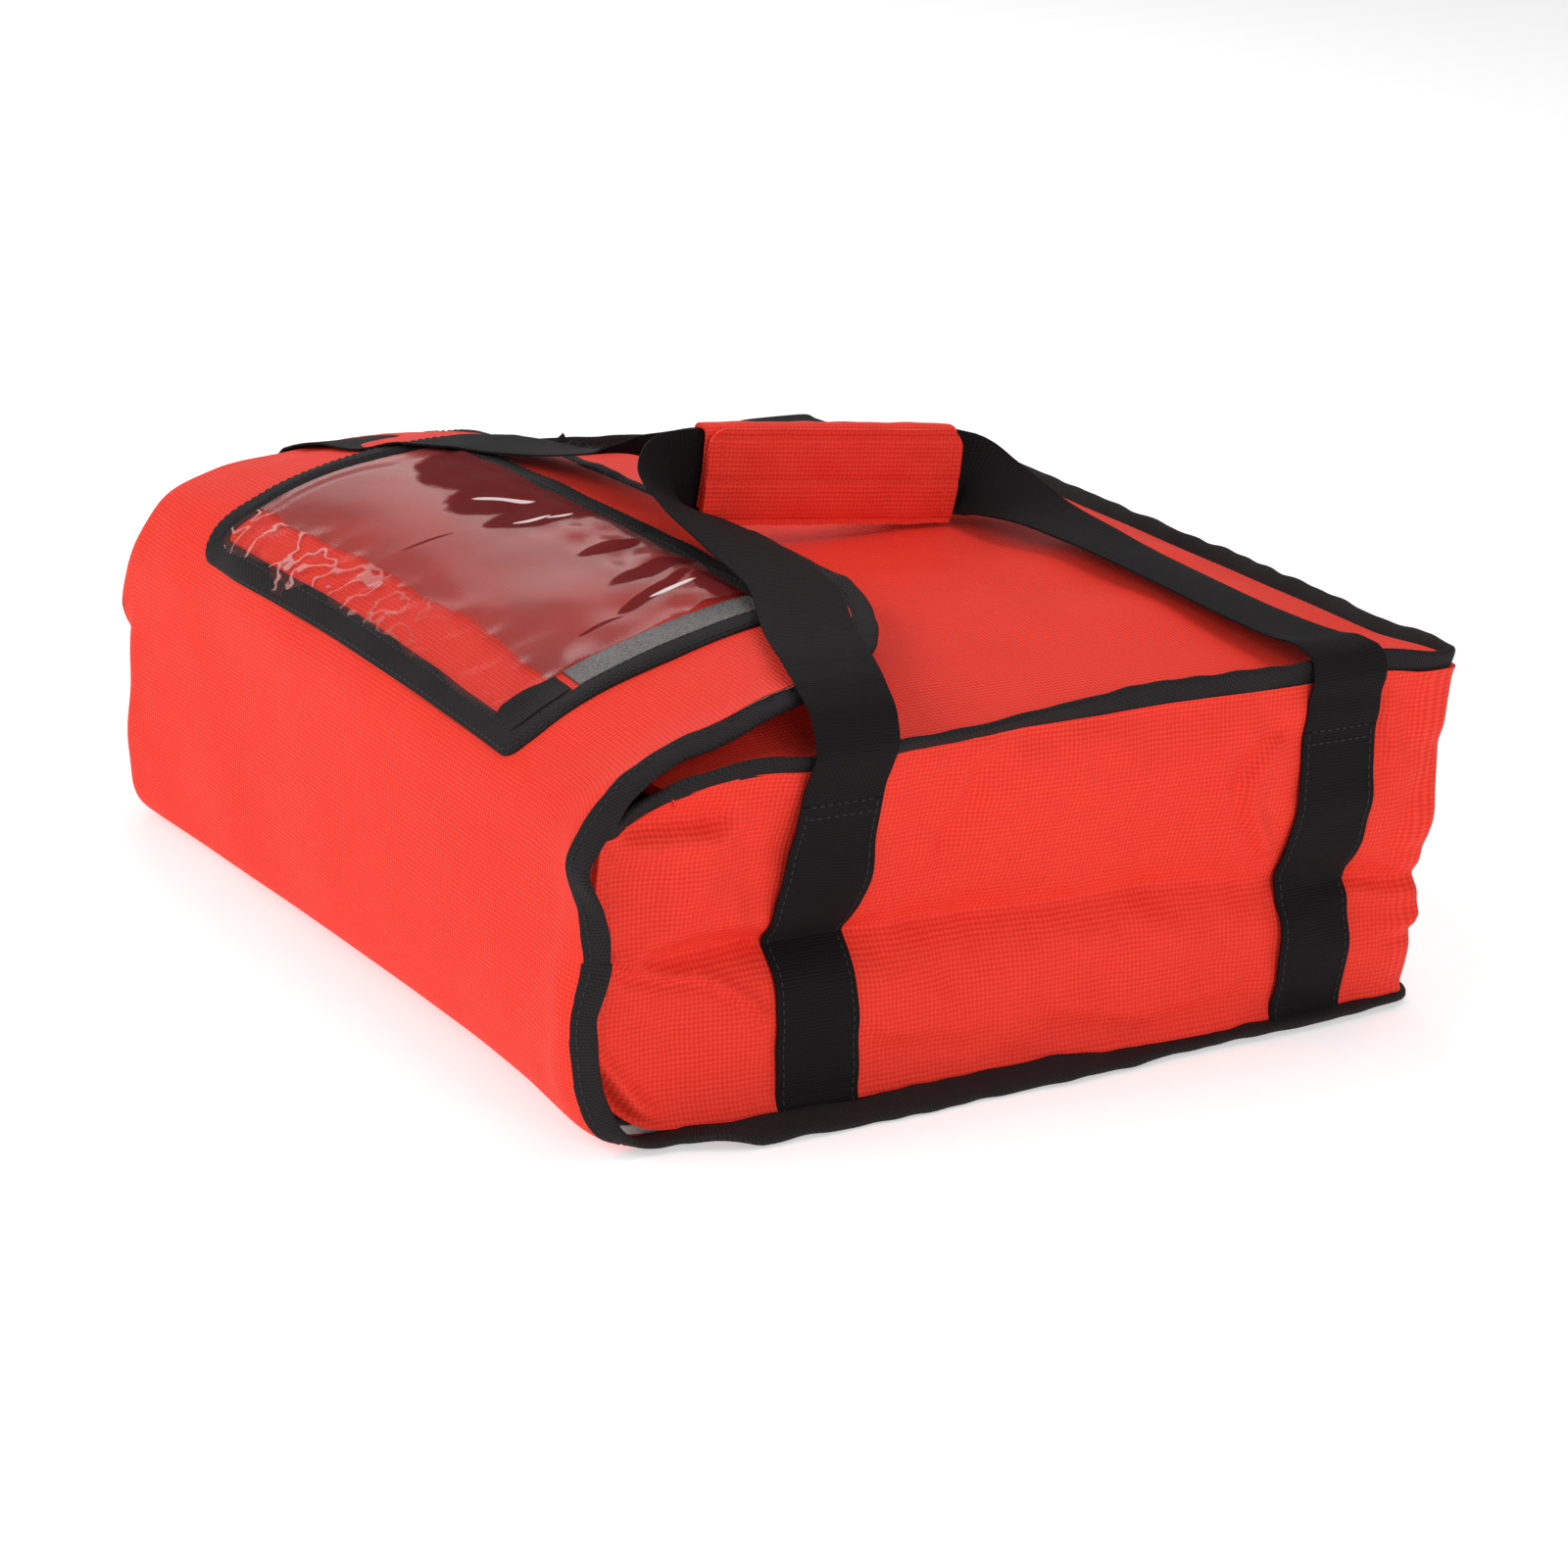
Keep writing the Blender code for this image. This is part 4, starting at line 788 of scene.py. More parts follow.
def stitches(name, line, normal, made_of, rides, long=0.0027, gap=0.0013, thick=0.00055):
    """A row of machine stitches: short threads that come up out of the cloth and go down again."""
    line, normal = np.asarray(line, float), np.asarray(normal, float)
    length = np.concatenate(((0,), np.cumsum(np.linalg.norm(np.diff(line, axis=0), axis=1))))
    starts = np.arange(gap, length[-1] - long, long + gap)
    at = starts[:, None] + long * np.array((0, 0.22, 0.78, 1))
    spot = np.stack([np.interp(at, length, line[:, n]) for n in range(3)], -1)
    up = np.stack([np.interp(at, length, normal[:, n]) for n in range(3)], -1)
    up /= np.linalg.norm(up, axis=-1, keepdims=True)
    run = spot[:, -1:] - spot[:, :1]
    run /= np.linalg.norm(run, axis=-1, keepdims=True)
    side = np.cross(run, up)
    spot = spot + up * (thick * np.array((-0.55, 0.12, 0.12, -0.55)))[None, :, None]
    ring = np.stack((side * 0.62, up * 0.5, -side * 0.62, -up * 0.5), 2) * thick
    grid = spot[:, :, None] + ring
    base = np.arange(len(starts))[:, None, None] * 16
    i, j = np.meshgrid(np.arange(3), np.arange(4), indexing="ij")
    k = (j + 1) % 4
    quads = np.stack((i * 4 + j, i * 4 + k, i * 4 + 4 + k, i * 4 + 4 + j), -1).reshape(-1, 4)
    quads = np.concatenate((quads, ((3, 2, 1, 0), (12, 13, 14, 15))))
    faces = (base + quads[None]).reshape(-1, 4)
    flat = np.stack(np.broadcast_arrays(np.array((0, 0.0005, 0.001, 0.0005))[None, None], at[:, :, None]), -1)
    return placed(name, grid.reshape(-1, 3), faces.tolist(), flat.reshape(-1, 2), made_of, rides, ())


TAPE = ribbed("binding_tape", (0.0025, 0.0022, 0.0024), (0.024, 0.021, 0.022), 0.0015, 0.0018, Specular_IOR_Level=0.16)


def bound_edge(name, line, outwards, normal, rides, stands_for, ring=False, wide=TAPE_WIDE, thick=TAPE_THICK, seed=0, start=-0.0030):
    """Folded tape along an edge. Its section is a flat oval that starts just inside the edge."""
    line, outwards, normal = (np.asarray(q, float) for q in (line, outwards, normal))
    length = np.concatenate(((0,), np.cumsum(np.linalg.norm(np.diff(line, axis=0), axis=1))))
    outwards = outwards / np.linalg.norm(outwards, axis=1, keepdims=True)
    normal = normal - outwards * (normal * outwards).sum(1, keepdims=True)
    normal /= np.linalg.norm(normal, axis=1, keepdims=True)
    turns = np.linspace(0, tau, 21)[:-1]
    power = 0.62
    wide = np.broadcast_to(wide, len(line))[:, None]
    across = np.sign(np.cos(turns)) * np.abs(np.cos(turns)) ** power
    thickness = np.sign(np.sin(turns)) * np.abs(np.sin(turns)) ** power
    pucker = 1 + 0.06 * ripple(length, 0 * length, 0.022, 70 + seed)
    swell = 1 + 0.10 * ripple(length, 0 * length, 0.017, 80 + seed)
    hollow = 1 - 0.16 * np.exp(-((across + 0.45) / 0.16) ** 2)
    a = start + wide / 2 + (wide / 2) * across[None, :] * pucker[:, None]
    b = (thick / 2) * (thickness * hollow)[None, :] * swell[:, None]
    grid = line[:, None] + outwards[:, None] * a[..., None] + normal[:, None] * b[..., None]
    cloth = np.stack(np.broadcast_arrays((across * wide / 2)[None, :], length[:, None]), -1)
    seam = line + outwards * (start + wide * 0.275) + normal * (thick / 2 * 0.88)
    stitches(name + "_stitches", seam, normal, BLACK_THREAD, rides)
    return tube(name, grid, cloth, TAPE, rides, stands_for)


def tube(name, grid, cloth, made_of, rides, stands_for=()):
    """A closed tube over rings of points, with flat ends."""
    rings, sides = grid.shape[:2]
    i, j = np.meshgrid(np.arange(rings - 1), np.arange(sides), indexing="ij")
    k = (j + 1) % sides
    faces = np.stack((i * sides + j, i * sides + k, (i + 1) * sides + k, (i + 1) * sides + j), -1).reshape(-1, 4).tolist()
    faces += [list(range(sides))[::-1], list(range((rings - 1) * sides, rings * sides))]
    return placed(name, grid.reshape(-1, 3), faces, cloth.reshape(-1, 2), made_of, rides, stands_for, radians(70))


def even(line, step):
    """Points at even distances along a line."""
    line = np.asarray(line, float)
    length = np.concatenate(((0,), np.cumsum(np.linalg.norm(np.diff(line[:, :3], axis=0), axis=1))))
    at = np.linspace(0, length[-1], max(2, int(length[-1] / step)))
    return np.stack([np.interp(at, length, line[:, n]) for n in range(line.shape[1])], 1)


def flap_edge():
    """The edge of the flap from the split, up the left side, round the hem and down the right side."""
    side = np.concatenate((np.arange(SPLIT, CORNER_ROWS[0], 0.003), CORNER_ROWS))
    half = flap_half_width(side)
    left = np.stack((-half, side), 1)
    near = flap_half_width(side, 1)
    hem = np.stack((np.linspace(-half[-1], near[-1], 70)[1:-1], np.full(68, CLOTH_HEM)), 1)
    right = np.stack((near, side), 1)[::-1]
    return even(np.concatenate((left, hem, right)), 0.0028)


def panel_binding(name, flat, rides, stands_for, drop, seed):
    """Tape along an edge of the long panel, given as (x, along) points. It hangs with the panel's edge."""
    place, normal = on_panel(flat[:, 0], flat[:, 1], -np.full(len(flat), drop))
    run = np.gradient(place, axis=0)
    outwards = np.cross(run, normal)
    middle = np.array((0, -0.10, 0.10))
    flip = np.sign(((place - middle) * outwards).sum(1))[len(flat) // 8]
    outwards = outwards * flip / np.linalg.norm(outwards, axis=1, keepdims=True)
    hang = through((0.143, 0.165, 0.20, 0.235, 0.30, 0.345, 0.392), (8, 28, 38, 32, 22, 10, 2), flat[:, 1])
    hang = hang + np.where(flat[:, 0] < 0, 30 * ease((0.26 - flat[:, 1]) / 0.06), 26 * ease((0.19 - flat[:, 1]) / 0.045))
    hang = np.radians(hang)[:, None]
    outwards, normal = outwards * np.cos(hang) - normal * np.sin(hang), normal * np.cos(hang) + outwards * np.sin(hang)
    wave = ripple(flat[:, 1] * 1.3 + flat[:, 0], flat[:, 0] * 0.4, 0.05, 90 + seed) * 0.0011 * ease((flat[:, 1] - SPLIT) / 0.03)
    place = place + normal * wave[:, None]
    bound_edge(name, place, outwards, normal, rides, stands_for, seed=seed, wide=0.0120, start=-0.0012)


def hem_stitches():
    """One row up each front end of the wall strip, which holds its hem."""
    for side, name in ((1, "right"), (-1, "left")):
        z = np.linspace(0.1330, 0.026, 70)
        y = -0.2040 + 0.0006 * np.sin(z * 90) + 0.006 * ease((0.045 - z) / 0.02)
        x, _ = wall_place(side * HALF_WIDTH, y, side, 0.0, z)
        slope = np.gradient(x, z)
        normal = np.stack((np.full_like(x, side), 0 * x, -slope * side), 1)
        stitches("wall_hem_stitches_" + name, np.stack((x, y, z), 1), normal, RED_THREAD, "body",
                 long=0.0032, gap=0.0016, thick=0.0007)


hem_stitches()
panel_binding("flap_edge_tape", flap_edge(), FLAP_RIDES,
              ("flap_binding", "front_binding_right", "front_binding_left"), 0.0014, 1)


def base_edge():
    """The edge of the base: from the split down the left side, round the back and up the right side."""
    side = np.arange(SPLIT, CLOTH_BACK + CORNER, -0.003)
    turn = np.linspace(0, pi / 2, 7)[1:]
    left = np.stack((np.full_like(side, -CLOTH_EDGE), side), 1)
    corner = np.stack((-CLOTH_EDGE + CORNER * (1 - np.cos(turn)), CLOTH_BACK + CORNER * (1 - np.sin(turn))), 1)
    back = np.stack((np.linspace(corner[-1, 0], -corner[-1, 0], 150)[1:-1], np.full(148, CLOTH_BACK)), 1)
    loop = np.concatenate((left, corner, back, (corner * (-1, 1))[::-1], (left * (-1, 1))[::-1]))
    return even(loop, 0.003)


def base_binding():
    flat = base_edge()
    place, normal = on_panel(flat[:, 0], flat[:, 1], -0.0022 + 0.0008 * ease((flat[:, 1] - 0.03) / 0.03))
    run = np.gradient(place, axis=0)
    outwards = np.cross(run, normal)
    outwards *= np.sign(outwards[10, 0] * place[10, 0])
    y = place[:, 1]
    outwards /= np.linalg.norm(outwards, axis=1, keepdims=True)
    lift = 0.0007 + 0.0006 * ripple(flat[:, 1], flat[:, 0], 0.06, 95)
    place[:, 2] += (np.clip(lift, 0, 0.002) + 0.0009) * ease((y + 0.20) / 0.03)
    low = ease((0.012 - flat[:, 1]) / 0.02)
    sides = ease((np.abs(flat[:, 0]) - 0.225) / 0.008)
    level = outwards * (1, 1, 0)
    level /= np.maximum(np.linalg.norm(level, axis=1, keepdims=True), 1e-9)
    tip = np.radians(20 * base_lift(y) * sides)[:, None]
    down = level * np.cos(tip) - np.array((0, 0, 1)) * np.sin(tip)
    upright = np.array((0, 0, 1)) * np.cos(tip) + level * np.sin(tip)
    hang = np.radians(34 * ease((flat[:, 1] - 0.03) / 0.03))[:, None]
    up = outwards * np.cos(hang) - normal * np.sin(hang)
    low = low[:, None]
    upright = upright * np.sign(normal[:, 2:])
    outwards, normal = (down * low + up * (1 - low),
                        upright * low + (normal * np.cos(hang) + outwards * np.sin(hang)) * (1 - low))
    wide = TAPE_WIDE + 0.0050 * base_lift(y) * sides * low[:, 0] * ease((0.09 - y) / 0.08) + 0.0017 * (1 - low[:, 0])
    bound_edge("base_seam_tape", place, outwards, normal, FRONT_RIDES, ("base_seam_binding",),
               seed=2, wide=wide, start=-0.0012)


base_binding()


FAR_PRESS = 0.153


def top_binding():
    """The top seam's tape stands up and out, more so towards the back."""
    px, py, nx, ny, _ = wall_path(0)
    root = seam_root(px, py) + 0.0002
    tip = np.where(px > 0, seam_height(1, py, SEAM_TIP), seam_height(-1, py, SEAM_TIP) - 0.003 * np.exp(-((py - FAR_PRESS) / 0.02) ** 2))
    rear = ease((py - 0.16) / 0.05)
    rise = (tip - seam_root(px, py)) * (1 - rear) + (0.0098 + 0.0005 * np.sin(px * 23)) * rear
    corner = np.exp(-((np.abs(px) - HALF_WIDTH) ** 2 + (py - BACK_Y) ** 2) / 0.024**2)
    rise = rise + (0.0118 - rise) * corner
    root = root - 0.0018 * corner
    x, y = wall_place(px, py, nx, ny, root)
    line = even(np.stack((x + nx * (0.0012 - 0.003 * corner), y + ny * (0.0012 - 0.003 * corner), root, nx, ny, rise, py), 1), 0.003)
    wide = TAPE_WIDE + 0.0018 * ease((line[:, 6] + 0.02) / 0.06)
    rise = np.clip(line[:, 5] / wide, 0.1, 0.97)
    level = np.sqrt(1 - rise**2)
    outwards = np.stack((line[:, 3] * level, line[:, 4] * level, rise), 1)
    normal = np.stack((-line[:, 3] * rise, -line[:, 4] * rise, level), 1)
    bound_edge("top_seam_tape", line[:, :3], outwards, normal, "body", ("top_seam_binding",), seed=3, start=-0.0015, wide=wide)


top_binding()

# Closure: two black loop strips sewn on the top panel, and two hook strips under the flap that meet them.
CLOSURE_Y = (-0.0906, -0.0656)


def hooked(name, tone, scale, rough, **fixed):
    """Hook or loop tape: a dense pile of small hooks or loops."""
    made, start, plug = finish_of(name, **fixed)
    room = start.node("ShaderNodeTexCoord", out=3)
    pile = start.node("ShaderNodeTexVoronoi", (), {"Vector": room, "Scale": scale})
    cloud = room.spots(60)
    plug(Base_Color=(pile * 0.8 + cloud * 0.3).between((tone, tone, tone), (tone * 0.25,) * 3),
         Roughness=rough + cloud * 0.1, Height=(1 - pile, 0.8, 0.0006))
    return made


LOOP = hooked("loop_tape", 0.035, 1100, 0.85, Sheen_Weight=0.12)
HOOK = hooked("hook_tape", 0.20, 750, 0.5)


def closures():
    for side, sign in (("right", 1), ("left", -1)):
        x = np.linspace(0.06, 0.18, 31)[:, None] * sign
        y = np.linspace(*CLOSURE_Y, 9)[None, :]
        x, y = np.broadcast_arrays(x, y)
        z = top_height(x, y)
        lower, upper = np.stack((x, y, z + 0.0001), -1), np.stack((x, y, z + 0.0012), -1)
        cloth = np.stack((x, y), -1)
        order = slice(None, None, sign)
        piece("top_loop_strip_" + side, upper[order], lower[order], cloth[order], LOOP, "body", ("top_loop_" + side,), "loop_tape")
        along = np.interp(y, (-0.0906, -0.0656), (0.3345, 0.3595))
        high, _ = on_panel(x, along, np.full(x.shape, -PANEL - 0.0001))
        low, _ = on_panel(x, along, np.full(x.shape, -PANEL - 0.0013))
        piece("flap_hook_strip_" + side, high[order], low[order], cloth[order], HOOK,
              FLAP_RIDES, ("flap_hook_" + side,), "hook_tape")


closures()

# Ticket pocket: clear vinyl in a frame of black binding, sewn over the flap's front fold. Its right end
# opens and is held by a hook-and-loop strip.
POCKET_HALF, POCKET_LOW, POCKET_HIGH, POCKET_BAND = 0.150, 0.1995, 0.3640, 0.0148


def pocket_frame():
    corners = np.array(((-0.152, 0.2085), (0.1515, 0.2035), (0.1500, 0.3640), (-0.1585, 0.3565)))
    middle = corners.mean(0)
    loop, pull = [], []
    for n in range(4):
        a, b = corners[n], corners[(n + 1) % 4]
        count = int(np.linalg.norm(b - a) / 0.0035)
        for t in np.arange(count) / count:
            loop.append(a + (b - a) * t)
            inner_a, inner_b = a + np.sign(middle - a) * POCKET_BAND, b + np.sign(middle - b) * POCKET_BAND
            pull.append(inner_a + (inner_b - inner_a) * t)
    loop, pull = np.array(loop), np.array(pull)
    loop = sum(np.roll(loop, k, 0) for k in (-2, -1, 0, 1, 2)) / 5
    pull = sum(np.roll(pull, k, 0) for k in (-1, 0, 1)) / 3
    c = np.linspace(0, 1, 9)
    flat = loop[:, None] + (pull - loop)[:, None] * c[None, :, None]
    wave = ripple(flat[..., 0], flat[..., 1], 0.05, 101) * 0.0004
    height = 0.0012 + 0.0016 * (1 - np.abs(2 * c - 1) ** 3)[None, :] + wave
    top, _ = on_panel(flat[..., 0], flat[..., 1], height)
    low, _ = on_panel(flat[..., 0], flat[..., 1], np.full(height.shape, 0.0002))
    length = np.linspace(0, 0.93, len(loop))[:, None] + 0 * c
    cloth = np.stack((c[None, :] * POCKET_BAND + 0 * length, length), -1)
    piece("pocket_frame", top, low, cloth, TAPE, FLAP_RIDES, ("pocket_binding_lower", "pocket_binding_upper"), "binding_tape", ring=True)
    for name, column in (("pocket_frame_outer_stitches", 1), ("pocket_frame_inner_stitches", 6)):
        row = np.concatenate((flat[:, column], flat[:1, column]))
        seam, normal = on_panel(row[:, 0], row[:, 1], np.append(height[:, column], height[0, column]) + 0.0001)
        stitches(name, seam, normal, BLACK_THREAD, FLAP_RIDES)


pocket_frame()


def vinyl():
    """Clear film, with light painted on it: thin painted glints of its crumpling along its front edge, a painted
    reflection of the pale room that clouds it where it bellies up, and painted shade in dark patches with thin painted
    highlights along its far edge."""
    made, start, plug = finish_of("clear_vinyl", IOR=1.45, Specular_IOR_Level=0.24)
    place = start.node("ShaderNodeUVMap", {"uv_map": "cloth"})
    x, along = place.part(0), place.part(1)
    ragged = place.spots(80, 2, 0.5) * 0.9 - 0.45
    open_end = x.rise(0.1185, 0.1168)

    def oval(middle, half, turn, rough=0.8, soft=0.14):
        dx, dy = x - middle[0], along - middle[1]
        u = (dx * cos(turn) + dy * sin(turn)) * (1 / half[0])
        v = (dy * cos(turn) - dx * sin(turn)) * (1 / half[1])
        return (u * u + v * v + ragged * rough).rise(1 + soft, 1 - soft)

    def any_of(masks):
        total = masks[0]
        for mask in masks[1:]:
            total = total.sum("MAXIMUM", total, mask)
        return total

    # Painted shade: dark patches where the film would mirror nothing bright, and one dark slit along a crease.
    painted_shade_patches = any_of([oval(*place_of) for place_of in (
        ((-0.088, 0.338), (0.038, 0.031), 0), ((-0.050, 0.322), (0.020, 0.027), 0), ((-0.023, 0.322), (0.0115, 0.0250), 0),
        ((-0.045, 0.348), (0.040, 0.022), 0), ((0.031, 0.328), (0.0060, 0.0150), -0.1), ((0.067, 0.331), (0.0072, 0.0240), 0.05),
        ((0.0885, 0.318), (0.0240, 0.0050), 1.84), ((0.0985, 0.283), (0.0115, 0.0014), 1.57), ((0.106, 0.345), (0.022, 0.0125), 0),
        ((0.125, 0.332), (0.0085, 0.022), 0), ((-0.0305, 0.2705), (0.0125, 0.0011), 1.28, 0.3))])
    # Painted highlights: thin bright streaks along the film's far edge.
    lines = any_of([oval(*place_of) for place_of in (
        ((-0.0190, 0.3175), (0.0095, 0.0013), 1.5, 0.5), ((-0.0160, 0.3300), (0.0065, 0.0009), 1.45, 0.5),
        ((-0.0475, 0.3215), (0.0135, 0.0022), 0.90, 0.6), ((0.0925, 0.3250), (0.0125, 0.0017), 1.55, 0.5))])
    # Painted reflection: a pale haze from the front fold up, where the film would mirror the bright room. glare and
    # drift vary its strength and tint.
    painted_reflection = (along + place.spots(26, 2) * 0.011 - 0.0055).rise(0.2448, 0.2462)
    drift = place.spots(9, 2, 0.4)
    # Painted glints: thin bright squiggles over the front band, more of them to the left.
    painted_glint_lines = ((place.spots(46, 2, 0.5) - 0.5).size()).rise(0.030, 0.008)
    painted_glints = painted_glint_lines * (1 - painted_reflection) * (x.rise(0.09, -0.10) * 0.75 + 0.06)
    glare = (place.spots(16, 2) * 0.55 + drift * 0.45).rise(0.40, 0.62)
    # The film's alpha carries the painted light (the painted reflection, glints, shade and highlights) over a faint
    # clear tint.
    thickness = painted_reflection * (0.27 + glare * 0.17) + 0.05
    thickness = thickness.sum("MAXIMUM", thickness, painted_glints * 0.55)
    thickness = thickness * (1 - painted_shade_patches) + painted_shade_patches * 0.60
    thickness = thickness.sum("MAXIMUM", thickness, lines * 0.80) * open_end + 0.03
    # Colours of the painted reflection, the painted glints, the painted shade and the painted highlights.
    colour = drift.between((0.40, 0.085, 0.075), (0.30, 0.065, 0.058))
    colour = painted_glints.between(colour, (0.85, 0.45, 0.42))
    colour = painted_shade_patches.between(colour, (0.150, 0.006, 0.006))
    plug(Base_Color=lines.between(colour, (0.85, 0.70, 0.70)), Alpha=thickness,
         Roughness=0.16 + drift * 0.10 + painted_shade_patches * 0.62, Height=(place.spots(45, 3), 0.25, 0.0012))
    return made


VINYL = vinyl()


def film_height(x, along):
    """The film lies slack on the flap: it bellies up, with creases along its front edge and its far corner."""
    inner_x = POCKET_HALF - POCKET_BAND
    u = (x + inner_x) / (2 * inner_x)
    v = (along - POCKET_LOW - POCKET_BAND) / (POCKET_HIGH - POCKET_LOW - 2 * POCKET_BAND)
    hold = ease(u / 0.06) * ease((1 - u) / 0.06) * ease(v / 0.06) * ease((1 - v) / 0.06)
    belly = 0.0012 + 0.0012 * ripple(x, along, 0.10, 111)
    crumple = np.exp(-((v - 0.10) / 0.14) ** 2) * ripple(x * 1.2, along * 0.7, 0.024, 112) * 0.0010
    lobes = np.exp(-((v - 0.92) / 0.16) ** 2) * ripple(x, along * 1.4, 0.030, 113) * 0.0010
    right = np.exp(-((u - 0.93) / 0.10) ** 2) * ripple(x, along, 0.03, 114) * 0.0008
    return 0.0016 + np.maximum((belly + crumple + lobes + right) * hold, -0.0008)


def pocket_film():
    inner_x = POCKET_HALF - POCKET_BAND + 0.003
    x = np.linspace(-inner_x, inner_x, 180)[:, None]
    along = np.linspace(POCKET_LOW + POCKET_BAND - 0.003, POCKET_HIGH - POCKET_BAND + 0.003, 90)[None, :]
    x, along = np.broadcast_arrays(x, along)
    height = film_height(x, along)
    film = strip_on_panel("pocket_film", x, along, height + 0.0003, height, VINYL,
                          ("pocket_film_lower", "pocket_film_upper"), "clear_vinyl")
    patch_x = np.linspace(0.1210, 0.1385, 9)[:, None]
    patch_along = np.linspace(0.2150, 0.2475, 20)[None, :]
    patch_x, patch_along = np.broadcast_arrays(patch_x, patch_along)
    lies = film_height(patch_x, patch_along)
    strip_on_panel("pocket_corner_tape", patch_x, patch_along, lies + 0.0014, lies + 0.0006, TAPE, (), "binding_tape")
    strip_x = np.linspace(POCKET_HALF - POCKET_BAND - 0.0173, POCKET_HALF - POCKET_BAND + 0.001, 9)[:, None]
    strip_along = np.linspace(0.2526, POCKET_HIGH - POCKET_BAND, 40)[None, :]
    strip_x, strip_along = np.broadcast_arrays(strip_x, strip_along)
    for name, low, high, made_of, node in (("pocket_loop_strip", 0.0002, 0.0007, LOOP, "pocket_loop"),
                                           ("pocket_hook_strip", 0.0008, 0.0013, HOOK, "pocket_hook")):
        strip_on_panel(name, strip_x, strip_along, high, low, made_of, (node,), node.split("_")[1] + "_tape")


pocket_film()

# Handles: two lengths of 40 mm black webbing. Each is sewn up the walls in two places, along both edges and
# twice across the top. It leaves them below the top seam, goes round the seam and in to the grip, where it
# stands on edge beside the other handle.
WEBBING, WEBBING_THICK = 0.040, 0.0016
NEAR_Y, FAR_Y = -0.105, 0.153
GRIP_CENTRE, GRIP_TILT, GRIP_HALF = np.array((0, 0.0345, 0.2093)), radians(5.4), 0.069
GRIP_ALONG = np.array((0, cos(GRIP_TILT), -sin(GRIP_TILT)))
GRIP_UP = np.array((0, sin(GRIP_TILT), cos(GRIP_TILT)))
WEB = ribbed("handle_webbing", (0.0026, 0.0019, 0.0021), (0.0105, 0.0082, 0.0090), 0.0015, 0.0020, Specular_IOR_Level=0.12)


def webbing(name, line, across, rides, stands_for, curl=None, clear_of_flap=False):
    """A length of webbing: a closed strip along a line, with its edges a little thinner."""
    line, across = np.asarray(line, float), np.asarray(across, float)
    length = np.concatenate(((0,), np.cumsum(np.linalg.norm(np.diff(line, axis=0), axis=1))))
    run = np.gradient(line, axis=0)
    run /= np.linalg.norm(run, axis=1, keepdims=True)
    across = across - run * (across * run).sum(1, keepdims=True)
    across /= np.linalg.norm(across, axis=1, keepdims=True)
    thick = np.cross(run, across)
    c = np.linspace(-1, 1, 15)
    bow = 0 if curl is None else np.asarray(curl)[:, None] * (1 - c[None, :] ** 2)
    body = line[:, None] + across[:, None] * (c * WEBBING / 2)[None, :, None] + thick[:, None] * (bow + 0 * c)[..., None]
    if clear_of_flap:
        spot_x, spot_y = body[..., 0], body[..., 1]
        needed = flap_height(spot_x, spot_y) + 0.0016 - body[..., 2]
        on_flap = ease((0.238 - np.abs(spot_x)) / 0.016) * ease((-0.040 - spot_y) / 0.004)
        body[..., 2] += np.clip(needed, 0, 0.012) * on_flap
    half = WEBBING_THICK / 2 * (1 - 0.45 * np.abs(c) ** 12)
    outer = body + thick[:, None] * half[None, :, None]
    inner = body - thick[:, None] * half[None, :, None]
    cloth = np.stack(np.broadcast_arrays((c * WEBBING / 2)[None, :], length[:, None]), -1)
    made = piece(name, outer, inner, cloth, WEB, rides, stands_for, "handle_webbing")
    return made


def sewn_length(side, place, y):
    z = np.linspace(0.0035, 0.1436, 48)
    low = ease(z / 0.012)
    bulge = np.max([side_bulge(side, y + d + 0 * z, z) for d in (-0.019, -0.010, 0, 0.010, 0.019)], axis=0)
    x = HALF_WIDTH + bulge * (1 if side > 0 else 0.85) + 0.0014
    x = x + 0.0022 * (1 - low)
    line = np.stack((side * x, y + 0 * z, z), 1)
    name = ("right" if side > 0 else "left") + "_" + place
    slope = (side_bulge(side, y + 0.019 + 0 * z, z) - side_bulge(side, y - 0.019 + 0 * z, z)) / 0.038 * side
    slope = slope * (1 - ease((z - 0.105) / 0.03))
    across = np.stack((slope, np.ones_like(z), 0 * z), 1) * -side
    across /= np.linalg.norm(across, axis=1, keepdims=True)
    out = np.cross(np.gradient(line, axis=0), across)
    out *= side * np.sign(out[:, :1]) / np.linalg.norm(out, axis=1, keepdims=True)
    for edge, shift in (("front", 0.0171), ("rear", -0.0171)):
        seam = line + across * shift + out * (WEBBING_THICK / 2)
        stitches(name + "_" + edge + "_stitches", seam, out, BLACK_THREAD, "body")
    for row, level in (("upper", -1), ("lower", -3)):
        reach = np.linspace(-0.0165, 0.0165, 20)[:, None]
        seam = line[level] + across[level] * reach + out[level] * (WEBBING_THICK / 2)
        stitches(name + "_" + row + "_stitches", seam, np.repeat(out[level][None], 20, 0), BLACK_THREAD, "body")
    webbing(name + "_sewn_strap", line, across, "body", (name + "_sewn_webbing",))
    return x[-1]


